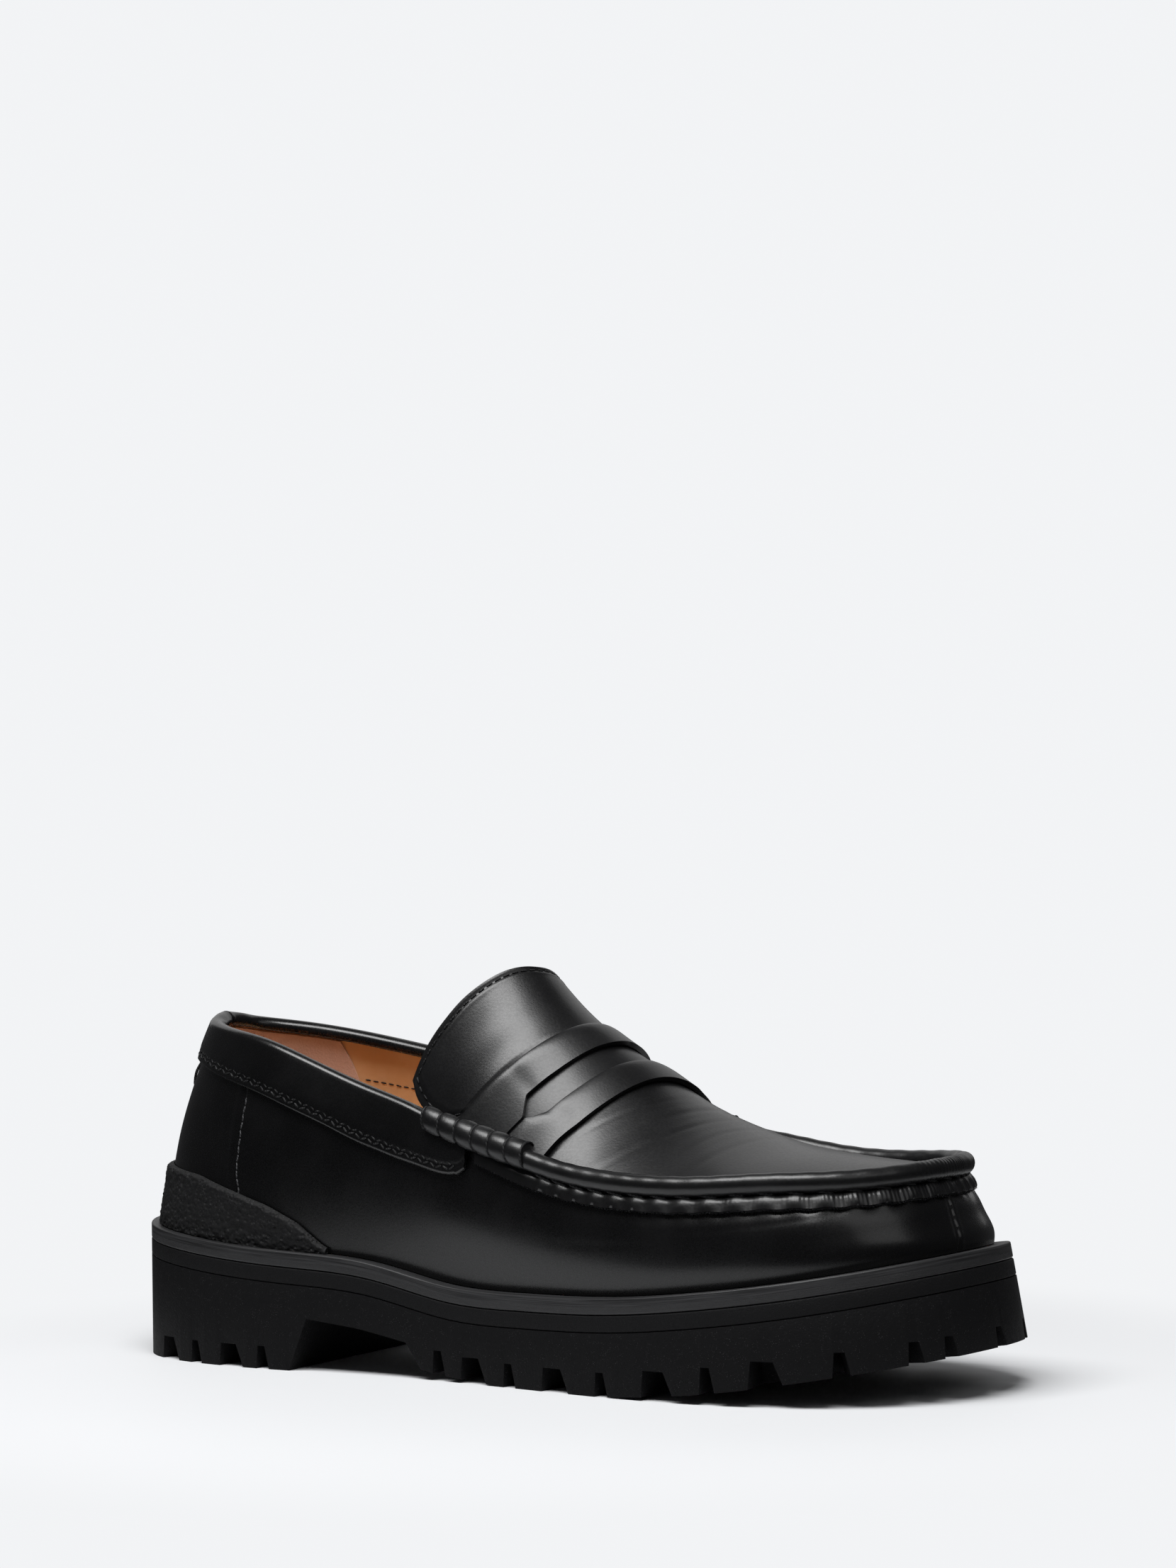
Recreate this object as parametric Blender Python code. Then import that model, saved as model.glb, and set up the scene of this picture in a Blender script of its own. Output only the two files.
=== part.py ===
"""Chunky lug sole penny loafer, right shoe.

Metres, +Z up, toe along +X, the outer (lateral) side at -Y, origin on the floor under the middle
of the whole shoe.
The shape is written as functions: outline() runs round the sole's edge, wall() is the outside of
the upper from the welt to its top edge, crown() is the top of the foot from the toe to the tongue.
Every piece is a layer, a strip or a cut of those functions.
"""
import math

import bmesh
import bpy
import numpy as np
from mathutils import Matrix

MM = 0.001
SOLE_LENGTH = 306 * MM
SOLE_WIDTH = 112 * MM
HEEL_STACK = 44.8 * MM
FOREFOOT_STACK = 29.1 * MM
TOE_SPRING = 15.4 * MM
ARCH_HEIGHT = 17 * MM
WELT_THICKNESS = 5.0 * MM
MIDSOLE_THICKNESS = 5.2 * MM
LAYER_GAP = 0.20 * MM
WELT_LEDGE = 5.0 * MM
UPPER_GAP = 0.3 * MM
LEATHER = 2.0 * MM
BACK_HEIGHT = 66 * MM
MARGIN_INSET = 14 * MM
INSOLE_THICKNESS = 3.0 * MM
THROAT = 0.612
TONGUE_START = 0.620
TONGUE_LEATHER = 2.0 * MM
STRAP_LEATHER = 1.7 * MM
STRAP_REACH = 0.84
BAND_LEATHER = 1.3 * MM
BAND_INNER_DROP = 7 * MM
BEAD_RADIUS = 3.3 * MM
LIP_DROP = 5.2 * MM
LIP_LEATHER = 1.5 * MM
ROLL_LOOPS = 6
ROLL_RADIUS = 4.6 * MM
HEEL_WRAP_THICKNESS = 2.0 * MM
LUG_REACH = 15 * MM
CLEAT_DEPTH = 5.5 * MM
NOTCH_WIDTH = 7 * MM
NOTCH_HEIGHT = 7.4 * MM
END_NOTCH_WIDTH = 3 * MM
END_NOTCH_REACH = 9 * MM
GROOVE_WIDTH = 3.4 * MM
INSOLE_SIDE_GAP = 1.4 * MM
INSOLE_RISE = 2.6 * MM
SOLE_ROWS = 56
COLLAR_STATIONS = 43

LATERAL_ROLL = (0.2010, 0.2560)
MEDIAL_ROLL = (0.2380, 0.2930)
BAND_END_LATERAL = 0.2235
BAND_END_MEDIAL = 0.2600

# share of the sole's length, half width on the lateral side, half width on the medial side
OUTLINE = (
    (0.000, 0.000, 0.000),
    (0.020, 0.318, 0.330),
    (0.060, 0.526, 0.540),
    (0.130, 0.663, 0.660),
    (0.220, 0.722, 0.680),
    (0.320, 0.721, 0.620),
    (0.420, 0.740, 0.590),
    (0.520, 0.813, 0.690),
    (0.620, 0.916, 0.880),
    (0.700, 0.981, 1.000),
    (0.780, 0.993, 1.020),
    (0.860, 0.916, 0.970),
    (0.920, 0.738, 0.869),
    (0.965, 0.479, 0.686),
    (0.990, 0.200, 0.442),
    (1.000, -0.119, 0.119),
)
# share of the length, share of the heel's lift, share of the toe spring at the top of the welt
STACK = (
    (0.00, 1.000, 0.000),
    (0.12, 0.760, 0.000),
    (0.25, 0.590, 0.000),
    (0.35, 0.440, 0.000),
    (0.45, 0.070, 0.000),
    (0.55, 0.000, 0.000),
    (0.65, 0.000, 0.055),
    (0.75, 0.000, 0.235),
    (0.87, 0.000, 0.555),
    (1.00, 0.000, 1.000),
)
# share of the length, height of the underside as shares of ARCH_HEIGHT and of TOE_SPRING
TREAD = (
    (0.000, 0.00, 0.000),
    (0.252, 0.00, 0.000),
    (0.275, 1.00, 0.000),
    (0.340, 0.87, 0.000),
    (0.400, 0.67, 0.000),
    (0.420, 0.00, 0.195),
    (0.460, 0.00, 0.091),
    (0.500, 0.00, 0.026),
    (0.540, 0.00, 0.000),
    (0.650, 0.00, 0.000),
    (0.700, 0.00, 0.078),
    (0.750, 0.00, 0.182),
    (0.800, 0.00, 0.318),
    (0.860, 0.00, 0.513),
    (0.920, 0.00, 0.708),
    (0.965, 0.00, 0.857),
    (1.000, 0.00, 0.974),
)
# share of the length, height as a share of BACK_HEIGHT, inset from the sole's edge in per cent of
# SOLE_WIDTH at 17, 45, 75 and 100 per cent of that height
WALL_LATERAL = (
    (0.000, 1.033, 6.43, 9.82, 16.07, 22.32),
    (0.060, 1.028, 5.54, 8.04, 13.04, 18.75),
    (0.130, 1.018, 4.64, 5.54, 8.39, 12.95),
    (0.210, 0.985, 3.75, 3.39, 4.91, 8.75),
    (0.277, 0.895, 3.57, 2.68, 3.93, 7.50),
    (0.342, 0.812, 3.57, 2.50, 3.39, 6.43),
    (0.400, 0.780, 3.39, 2.05, 2.50, 5.00),
    (0.460, 0.720, 3.39, 1.79, 2.14, 4.11),
    (0.534, 0.607, 3.39, 2.14, 2.68, 4.82),
    (0.583, 0.540, 3.48, 2.59, 3.39, 5.71),
    (0.658, 0.479, 3.57, 3.12, 4.46, 7.14),
    (0.746, 0.433, 3.57, 3.57, 5.36, 8.57),
    (0.837, 0.403, 3.75, 4.11, 6.43, 9.82),
    (0.939, 0.346, 4.11, 5.89, 8.93, 11.96),
    (1.000, 0.323, 4.46, 7.14, 10.36, 13.21),
)
WALL_MEDIAL = (
    (0.000, 1.033, 6.43, 9.82, 16.07, 22.32),
    (0.060, 1.030, 5.54, 8.04, 13.04, 18.75),
    (0.130, 1.022, 4.29, 5.18, 8.04, 12.68),
    (0.220, 0.985, 2.68, 1.61, 3.12, 7.14),
    (0.279, 0.947, 1.96, -0.18, 1.07, 4.64),
    (0.350, 0.900, 0.89, -2.14, -1.43, 1.61),
    (0.420, 0.860, 0.45, -3.57, -3.12, -0.45),
    (0.520, 0.770, 1.34, -1.79, -0.89, 2.68),
    (0.630, 0.630, 2.68, 1.43, 3.75, 8.04),
    (0.710, 0.540, 3.39, 3.04, 5.80, 10.71),
    (0.790, 0.450, 3.57, 3.75, 6.70, 11.61),
    (0.870, 0.394, 3.75, 4.29, 7.14, 11.96),
    (0.956, 0.350, 4.20, 6.43, 9.64, 12.68),
    (1.000, 0.323, 4.46, 7.14, 10.36, 13.21),
)
WALL_LEVELS = (0.0, 0.17, 0.45, 0.75, 1.0)
# station, lateral turn, medial turn, crest in per cent of SOLE_LENGTH and of SOLE_WIDTH and its
# height over the welt as a share of BACK_HEIGHT, angle of the arch
CROWN = (
    (0.00, 0.500, 0.500, 45.59, 4.46, 0.356, 42),
    (0.03, 0.462, 0.468, 43.79, 4.46, 0.395, 44),
    (0.08, 0.430, 0.436, 40.85, 4.46, 0.440, 46),
    (0.15, 0.400, 0.406, 36.60, 2.68, 0.490, 48),
    (0.22, 0.374, 0.384, 32.68, 1.34, 0.538, 50),
    (0.29, 0.350, 0.365, 28.76, 0.00, 0.586, 52),
    (0.36, 0.325, 0.346, 24.84, -0.89, 0.645, 54),
    (0.43, 0.295, 0.322, 20.92, -1.79, 0.722, 56),
    (0.52, 0.262, 0.293, 16.34, -2.23, 0.836, 60),
    (0.65, 0.238, 0.266, 10.46, -2.23, 1.043, 66),
    (0.78, 0.217, 0.241, 4.90, -2.68, 1.250, 72),
)
# station, near edge, far edge and crest, each with the same three shares, angle of the arch
TONGUE = (
    (0.78, -4.25, -32.68, 0.804, 1.14, 31.79, 0.833, 4.90, -2.68, 1.250, 72),
    (0.88, -7.35, -30.18, 0.828, -1.63, 29.11, 0.897, 1.96, -2.68, 1.368, 76),
    (1.00, -11.11, -28.21, 0.864, -4.90, 26.43, 0.982, -1.31, -2.23, 1.521, 79),
)
# station, how far across the crown the tongue reaches
TONGUE_REACH = (
    (0.620, 0.86),
    (0.760, 0.88),
    (0.850, 0.93),
    (0.900, 0.97),
    (0.960, 0.99),
    (0.985, 0.98),
    (1.000, 0.95),
)
# place across the crown, strap's front edge, slot's front edge, slot's rear edge, strap's rear edge
STRAP = (
    (-0.840, 0.561, 0.664, 0.664, 0.755),
    (-0.767, 0.566, 0.664, 0.664, 0.760),
    (-0.660, 0.570, 0.641, 0.690, 0.763),
    (-0.440, 0.580, 0.644, 0.694, 0.766),
    (-0.140, 0.594, 0.653, 0.703, 0.770),
    (0.200, 0.600, 0.658, 0.708, 0.774),
    (0.440, 0.594, 0.653, 0.703, 0.772),
    (0.660, 0.584, 0.648, 0.697, 0.768),
    (0.767, 0.576, 0.668, 0.668, 0.764),
    (0.840, 0.569, 0.668, 0.668, 0.758),
)
# turn from the heel's back, lower edge of the collar band as a share of the wall's height
BAND_EDGE = (
    (0.0000, 0.800),
    (0.0700, 0.815),
    (0.1130, 0.772),
    (0.1350, 0.744),
    (0.1530, 0.725),
    (0.1710, 0.693),
    (0.1900, 0.684),
    (0.2090, 0.706),
    (0.2150, 0.722),
    (0.2200, 0.752),
    (0.2235, 0.810),
)
# turn from the heel's back, top of the heel wrap as a share of the wall's height
WRAP_TOP = (
    (0.0000, 0.285),
    (0.0400, 0.295),
    (0.0827, 0.297),
    (0.1076, 0.251),
    (0.1259, 0.212),
    (0.1405, 0.150),
    (0.1504, 0.060),
    (0.1545, 0.025),
)
# share of the length, width as a share of NOTCH_WIDTH
NOTCHES = (
    (0.075, 0.93),
    (0.121, 0.40),
    (0.171, 0.93),
    (0.216, 0.40),
    (0.441, 0.40),
    (0.484, 0.93),
    (0.534, 0.40),
    (0.592, 1.00),
    (0.653, 0.40),
    (0.718, 1.03),
    (0.777, 0.40),
    (0.836, 1.00),
    (0.905, 0.46),
    (0.958, 0.46),
)
BOX_FACES = ((0, 1, 2, 3), (7, 6, 5, 4), (0, 4, 5, 1), (1, 5, 6, 2), (2, 6, 7, 3), (3, 7, 4, 0))
MIDDLE_GROOVES = (0.500, 0.572, 0.644, 0.716, 0.788, 0.860, 0.925, 0.095, 0.160)
TOE_NOTCHES = (0.455, 0.489, 0.523, 0.553)
HEEL_BACK_NOTCHES = (-0.022, 0.022)


class Spline:
    """Natural or closed cubic spline through rows of values."""

    def __init__(self, knots, values, closed=False):
        self.knots = np.asarray(knots, float)
        rows = np.asarray(values, float)
        self.single = rows.ndim == 1
        rows = rows.reshape(len(self.knots), -1)
        count = len(self.knots)
        step = np.diff(self.knots)
        slope = np.diff(rows, axis=0) / step[:, None]
        matrix = np.zeros((count, count))
        right = np.zeros_like(rows)
        for i in range(1, count - 1):
            matrix[i, i - 1:i + 2] = (step[i - 1], 2 * (step[i - 1] + step[i]), step[i])
            right[i] = 6 * (slope[i] - slope[i - 1])
        matrix[0, 0] = matrix[-1, -1] = 1
        if closed:
            matrix[0, 0] = 2 * (step[-1] + step[0])
            matrix[0, 1] = step[0]
            matrix[0, count - 2] = step[-1]
            right[0] = 6 * (slope[0] - slope[-1])
            matrix[-1, 0] = -1
        self.bend = np.linalg.solve(matrix, right)
        self.rows = rows
        self.step = step

    def __call__(self, x, order=0):
        x = np.asarray(x, float)
        flat = x.reshape(-1)
        i = np.clip(np.searchsorted(self.knots, flat, side="right") - 1, 0, len(self.step) - 1)
        h = self.step[i][:, None]
        p = (self.knots[i + 1] - flat)[:, None]
        q = (flat - self.knots[i])[:, None]
        m0, m1, y0, y1 = self.bend[i], self.bend[i + 1], self.rows[i], self.rows[i + 1]
        if order == 0:
            cubic = (m0 * p**3 + m1 * q**3) / (6 * h)
            out = cubic + (y0 / h - m0 * h / 6) * p + (y1 / h - m1 * h / 6) * q
        else:
            out = (m1 * q**2 - m0 * p**2) / (2 * h) + (y1 - y0) / h - (m1 - m0) * h / 6
        return out.reshape(x.shape) if self.single else out.reshape(x.shape + (-1,))


def column(rows, *places):
    """Columns of a table as a list of rows."""
    return [[row[k] for k in places] for row in rows]


def unit(v):
    """Vectors scaled to length one."""
    return v / np.maximum(np.linalg.norm(v, axis=-1, keepdims=True), 1e-12)


def outline_spline():
    """Closed spline round the sole's edge, and the place of the toe on it."""
    lateral = [(a, -b) for a, b, _ in OUTLINE]
    medial = [(a, b) for a, _, b in OUTLINE[-2:0:-1]]
    points = np.array(lateral + medial + lateral[:1], float)
    points[len(OUTLINE) - 1, 1] = (OUTLINE[-1][2] - OUTLINE[-1][1]) / 2
    points[:, 0] = (points[:, 0] - 0.5) * SOLE_LENGTH
    points[:, 1] *= SOLE_WIDTH / 2
    step = np.sqrt(np.linalg.norm(np.diff(points, axis=0), axis=1))
    knots = np.concatenate([[0], np.cumsum(step)])
    return Spline(knots / knots[-1], points, closed=True), knots[len(OUTLINE) - 1] / knots[-1]


EDGE, TOE_AT = outline_spline()
STACK_CURVE = Spline([r[0] for r in STACK], column(STACK, 1, 2))
LATERAL = Spline([r[0] for r in WALL_LATERAL], column(WALL_LATERAL, 1, 2, 3, 4, 5))
MEDIAL = Spline([r[0] for r in WALL_MEDIAL], column(WALL_MEDIAL, 1, 2, 3, 4, 5))
LEVELS = Spline(WALL_LEVELS, np.eye(len(WALL_LEVELS)))


def outline(u):
    """Point on the sole's edge and outward direction; u is 0 at the heel, 0.5 at the toe."""
    u = np.asarray(u, float) % 1.0
    s = np.where(u < 0.5, u * 2 * TOE_AT, TOE_AT + (u - 0.5) * 2 * (1 - TOE_AT))
    d = EDGE(s, 1)
    return EDGE(s), unit(np.stack([d[..., 1], -d[..., 0]], -1))


def share(x):
    """Place along the sole, 0 at the heel and 1 at the toe."""
    return np.clip(np.asarray(x) / SOLE_LENGTH + 0.5, 0, 1)


def welt_top(x):
    """Height of the welt's upper face."""
    s = STACK_CURVE(np.asarray(x) / SOLE_LENGTH + 0.5)
    return FOREFOOT_STACK + s[..., 0] * (HEEL_STACK - FOREFOOT_STACK) + s[..., 1] * TOE_SPRING


def tread_height(along):
    """Height of the tread's underside."""
    heights = [r[1] * ARCH_HEIGHT + r[2] * TOE_SPRING for r in TREAD]
    return np.interp(along, [r[0] for r in TREAD], heights)


def below(x, y, depth):
    """Point at a depth under the welt's upper face, square to it in the forefoot."""
    x = np.asarray(x, float)
    slope = (welt_top(x + 1e-4) - welt_top(x - 1e-4)) / 2e-4
    lean = np.arctan(slope) * np.clip((share(x) - 0.60) / 0.08, 0, 1)
    return np.stack([x + depth * np.sin(lean), y + 0 * x, welt_top(x) - depth * np.cos(lean)], -1)


def wall(u, v):
    """Outside of the upper: v is 0 on the welt and 1 at the collar or the moccasin seam."""
    u = np.asarray(u, float) % 1.0
    v = np.asarray(v, float) * np.ones_like(u)
    p, n = outline(u)
    along = share(p[..., 0])
    row = np.where((u < 0.5)[..., None], LATERAL(along), MEDIAL(along))
    insets = np.concatenate([np.full(row[..., :1].shape, WELT_LEDGE), row[..., 1:] / 100 * SOLE_WIDTH], -1)
    inset = (LEVELS(v) * insets).sum(-1)
    base = welt_top(p[..., 0] - n[..., 0] * WELT_LEDGE) + UPPER_GAP
    x = p[..., 0] - n[..., 0] * inset
    y = p[..., 1] - n[..., 1] * inset
    return np.stack([x, y, base + v * row[..., 0] * BACK_HEIGHT], -1)


def wall_normal(u, v):
    """Outward direction of the upper's outside."""
    e = 1e-3
    u = np.asarray(u, float)
    v = np.asarray(v, float) * np.ones_like(u)
    du = wall(u + e, v) - wall(u - e, v)
    dv = wall(u, np.minimum(v + e, 1)) - wall(u, np.maximum(v - e, 0))
    return unit(np.cross(du, dv))


def wall_rise(u, v=1.0):
    """Direction up along the wall."""
    return unit(wall(u, v) - wall(u, v - 0.04))


def wall_height(u):
    """Height of the wall in metres."""
    return wall(u, 1.0)[..., 2] - wall(u, 0.0)[..., 2]


def place(along, across, up):
    """Point from per cents of the sole's length and width and a share of BACK_HEIGHT over the welt."""
    x = along / 100 * SOLE_LENGTH
    return [x, across / 100 * SOLE_WIDTH, float(welt_top(x)) + up * BACK_HEIGHT]


def crown_tables():
    """Splines of the crown's stations."""
    t = [r[0] for r in CROWN] + [r[0] for r in TONGUE[1:]]
    crest = [place(*r[3:6]) for r in CROWN] + [place(*r[7:10]) for r in TONGUE[1:]]
    crest[0] = list(wall(np.array(0.5), 1.0))
    angle = [r[6] for r in CROWN] + [r[10] for r in TONGUE[1:]]
    edge = Spline([r[0] for r in TONGUE], [place(*r[1:4]) + place(*r[4:7]) for r in TONGUE])
    turns = Spline([r[0] for r in CROWN], column(CROWN, 1, 2))
    return turns, Spline(t, crest), Spline(t, angle), edge


TURNS, CREST, ARCH, TONGUE_EDGE = crown_tables()


def crown(w, t):
    """Top of the foot: w is -1 lateral to 1 medial, t is 0 at the toe and 1 at the tongue's top."""
    w = np.asarray(w, float)
    t = np.asarray(t, float) * np.ones_like(w)
    last = CROWN[-1][0]
    turn = TURNS(np.minimum(t, last))
    near, far = wall(turn[..., 0], 1.0), wall(1 - turn[..., 1], 1.0)
    edge = TONGUE_EDGE(np.maximum(t, last))
    mix = np.clip((t - last + 0.13) / 0.13, 0, 1)[..., None]
    mix = mix * mix * (3 - 2 * mix)
    near = near * (1 - mix) + edge[..., 0:3] * mix
    far = far * (1 - mix) + edge[..., 3:6] * mix
    angle = np.radians(ARCH(t))
    across = np.sin(w * angle) / np.sin(angle)
    up = (np.cos(w * angle) - np.cos(angle)) / (1 - np.cos(angle))
    middle = (near + far) / 2
    half = (far - near) / 2
    return middle + half * across[..., None] + (CREST(t) - middle) * up[..., None]


def station_at(u, side):
    """Crown station that meets the seam at a turn of the lateral or medial side."""
    t = np.linspace(0, CROWN[-1][0], 800)
    turns = np.minimum.accumulate(TURNS(t)[:, side])
    return np.interp(-np.asarray(u), -turns, t)


def crown_normal(w, t):
    """Direction square to the crown, looking up."""
    e = 2e-3
    w = np.asarray(w, float)
    t = np.asarray(t, float) * np.ones_like(w)
    across = crown(w + e, t) - crown(w - e, t)
    along = crown(w, t - e) - crown(w, t + e)
    return unit(np.cross(along, across))


def seam_slope(u, out):
    """Rise of the crown beside the seam in the plane square to the seam, as an angle."""
    turn = min(u % 1.0, 1 - u % 1.0)
    angles = []
    for side, sign in ((0, -0.96), (1, 0.96)):
        t = min(max(float(station_at(turn, side)), 0.05), 0.77)
        n = crown_normal(np.array(sign), t)
        way = out if abs(u - 0.5) > 0.03 else unit(np.array([out[0], -abs(out[1]) * -sign, 0]))
        angles.append(math.atan2(float(way @ n), float(n[2])))
    mix = min(max((u % 1.0 - 0.47) / 0.06, 0.0), 1.0)
    return angles[0] * (1 - mix) + angles[1] * mix


def material(name, colour, roughness):
    """Principled material."""
    made = bpy.data.materials.new(name)
    made.use_nodes = True
    shader = made.node_tree.nodes["Principled BSDF"]
    shader.inputs["Base Color"].default_value = (*colour, 1.0)
    shader.inputs["Roughness"].default_value = roughness
    return made


def solid(name, points, faces, slot):
    """Closed mesh object with its faces turned outward."""
    mesh = bpy.data.meshes.new(name)
    mesh.from_pydata([tuple(float(c) for c in p) for p in points], [], faces)
    piece = bpy.data.objects.new(name, mesh)
    bpy.context.scene.collection.objects.link(piece)
    bm = bmesh.new()
    bm.from_mesh(mesh)
    bmesh.ops.recalc_face_normals(bm, faces=bm.faces)
    if bm.calc_volume(signed=True) < 0:
        bmesh.ops.reverse_faces(bm, faces=bm.faces)
    bm.to_mesh(mesh)
    bm.free()
    if slot:
        mesh.materials.append(slot)
    return piece


def grid_faces(ids, closed=False):
    """Quads or triangles of a grid of vertex numbers."""
    faces = []
    rows = len(ids)
    for i in range(rows if closed else rows - 1):
        a, b = ids[i], ids[(i + 1) % rows]
        for j in range(len(a) - 1):
            ring = []
            for k in (a[j], b[j], b[j + 1], a[j + 1]):
                if k >= 0 and k not in ring:
                    ring.append(int(k))
            if len(ring) > 2:
                faces.append(ring)
    return faces


def vertex_normals(points, faces):
    """Directions square to a sheet at its points, with the length that keeps a mitre's thickness."""
    points = np.asarray(points, float)
    total = np.zeros_like(points)
    flat = []
    for ring in faces:
        corner = points[ring]
        area = np.cross(corner[2 % len(ring)] - corner[0], corner[-1] - corner[1])
        if len(ring) == 3:
            area = np.cross(corner[1] - corner[0], corner[2] - corner[0])
        flat.append(unit(area))
        for k in ring:
            total[k] += area
    total = unit(total)
    closest = np.ones(len(points))
    for ring, normal in zip(faces, flat):
        for k in ring:
            closest[k] = min(closest[k], float(total[k] @ normal))
    return total / np.maximum(closest, 0.6)[:, None]


def layer(points, faces, low, high):
    """Points and faces of a closed layer between two offsets of a sheet."""
    points = np.asarray(points, float)
    normals = vertex_normals(points, faces)
    low = np.broadcast_to(np.asarray(low, float), (len(points),))[:, None]
    high = np.broadcast_to(np.asarray(high, float), (len(points),))[:, None]
    count = len(points)
    both = np.concatenate([points + normals * high, points + normals * low])
    edges = set()
    for ring in faces:
        for k in range(len(ring)):
            edges.add((ring[k], ring[(k + 1) % len(ring)]))
    out = [list(ring) for ring in faces]
    out += [[k + count for k in reversed(ring)] for ring in faces]
    for a, b in sorted(edges):
        if (b, a) not in edges:
            out.append([b, a, a + count, b + count])
    return both, out


def sweep(name, sections, slot, closed=False):
    """Solid through a run of closed sections with the same number of points."""
    sections = np.asarray(sections, float)
    runs, count = sections.shape[:2]
    ids = np.arange(runs * count).reshape(runs, count)
    faces = grid_faces(np.concatenate([ids, ids[:, :1]], 1), closed)
    if not closed:
        faces.append([int(k) for k in ids[0]])
        faces.append([int(k) for k in ids[-1][::-1]])
    return solid(name, sections.reshape(-1, 3), faces, slot)


def subtract(piece, cutter):
    """Cut one solid from another and drop the cutter."""
    cutter.hide_render = True
    cutter.display_type = "WIRE"
    cut = piece.modifiers.new("cut", "BOOLEAN")
    cut.operation = "DIFFERENCE"
    cut.solver = "EXACT"
    cut.object = cutter
    bpy.context.view_layer.update()
    made = bpy.data.meshes.new_from_object(piece.evaluated_get(bpy.context.evaluated_depsgraph_get()))
    piece.modifiers.clear()
    piece.data = made
    bpy.data.objects.remove(cutter, do_unlink=True)


def plate_points(depth, inset, turns, columns):
    """Rows of points across the sole at a depth under the welt's top."""
    lateral, n0 = outline(turns)
    medial, n1 = outline(1 - turns)
    lateral = lateral - n0 * inset
    medial = medial - n1 * inset
    mix = np.linspace(0, 1, columns)[None, :, None]
    flat = lateral[:, None] * (1 - mix) + medial[:, None] * mix
    return below(flat[..., 0], flat[..., 1], depth)


def block(name, top, bottom, slot):
    """Solid between two grids of rows whose first and last rows are single points."""
    rows, columns = top.shape[:2]
    ids = np.zeros((rows, columns), int)
    points = []
    for i in range(rows):
        for j in range(columns):
            if j and i in (0, rows - 1):
                ids[i, j] = ids[i, 0]
                continue
            ids[i, j] = len(points)
            points.append((i, j))
    count = len(points)
    both = [top[i, j] for i, j in points] + [bottom[i, j] for i, j in points]
    faces = grid_faces(ids)
    out = [list(r) for r in faces] + [[k + count for k in reversed(r)] for r in faces]
    edges = {(r[k], r[(k + 1) % len(r)]) for r in faces for k in range(len(r))}
    for a, b in sorted(edges):
        if (b, a) not in edges:
            out.append([b, a, a + count, b + count])
    return solid(name, both, out, slot)


def sole_turns(count):
    """Turns of the rows across the sole, closer together at both ends."""
    s = np.linspace(0, 1, count)
    return 0.5 * (s - 0.55 * np.sin(2 * math.pi * s) / (2 * math.pi))


def round_heel(medial, lateral, count):
    """Turns from the medial side round the heel to the lateral side, closer together at the back."""
    s = np.linspace(-1, 1, count)
    s = np.sign(s) * np.abs(s) ** 1.3
    return np.where(s < 0, s * medial, s * lateral)


def turn_at(along, medial=False):
    """Turn of a place along the sole."""
    u = np.linspace(0, 0.5, 2001)
    p, _ = outline(1 - u if medial else u)
    s = np.maximum.accumulate(share(p[:, 0]))
    return float(np.interp(along, s, u))


def make_plate(name, top, bottom, inset, slot, columns=2):
    """One flat layer of the sole."""
    turns = sole_turns(SOLE_ROWS)
    return block(name, plate_points(top, inset, turns, columns),
                 plate_points(bottom, inset, turns, columns), slot)


def make_outsole(slot):
    """Rubber unit with the heel, the arch, the tread and its lugs."""
    marks = [turn_at(a) for a in (0.252, 0.275, 0.400, 0.420)]
    turns = [t for t in sole_turns(SOLE_ROWS) if min(abs(t - m) for m in marks) > 0.002]
    turns = np.array(sorted(turns + marks))
    depth = WELT_THICKNESS + MIDSOLE_THICKNESS + 2 * LAYER_GAP
    top = plate_points(depth, 0.0, turns, 3)
    flat = plate_points(0.0, 0.0, turns, 3)
    along = share(outline(turns)[0][:, 0])
    floor = tread_height(along)[:, None] * np.ones(3)
    drop = flat[..., 2] - floor
    bottom = below(flat[..., 0], flat[..., 1], drop)
    bottom[..., 2] = floor
    piece = block("outsole", top, bottom, slot)
    sides = []
    for along, width in NOTCHES:
        for medial in (False, True):
            u = turn_at(along, medial)
            sides.append((1 - u if medial else u, width * NOTCH_WIDTH, -1.0 if medial else 1.0))
    toe = [(u, END_NOTCH_WIDTH, 1.0 if u < 0.5 else -1.0) for u in TOE_NOTCHES]
    back = [(u, END_NOTCH_WIDTH, 1.0 if u > 0 else -1.0) for u in HEEL_BACK_NOTCHES]
    for cutters, reach in ((sides, LUG_REACH), (toe, END_NOTCH_REACH), (back, END_NOTCH_REACH)):
        points, faces = [], []
        for u, width, lean in cutters:
            start = len(points)
            points += notch_corners(u, width, lean, reach)
            faces += [[start + k for k in ring] for ring in BOX_FACES]
        subtract(piece, solid("cutter", points, faces, None))
    points, faces = [], []
    for along in MIDDLE_GROOVES:
        start = len(points)
        points += middle_groove(along)
        faces += [[start + k for k in ring] for ring in BOX_FACES]
    subtract(piece, solid("cutter", points, faces, None))
    for path in (groove_path(0.445, 0.985), groove_path(0.045, 0.240)):
        subtract(piece, groove(path, GROOVE_WIDTH))
    return piece


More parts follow.
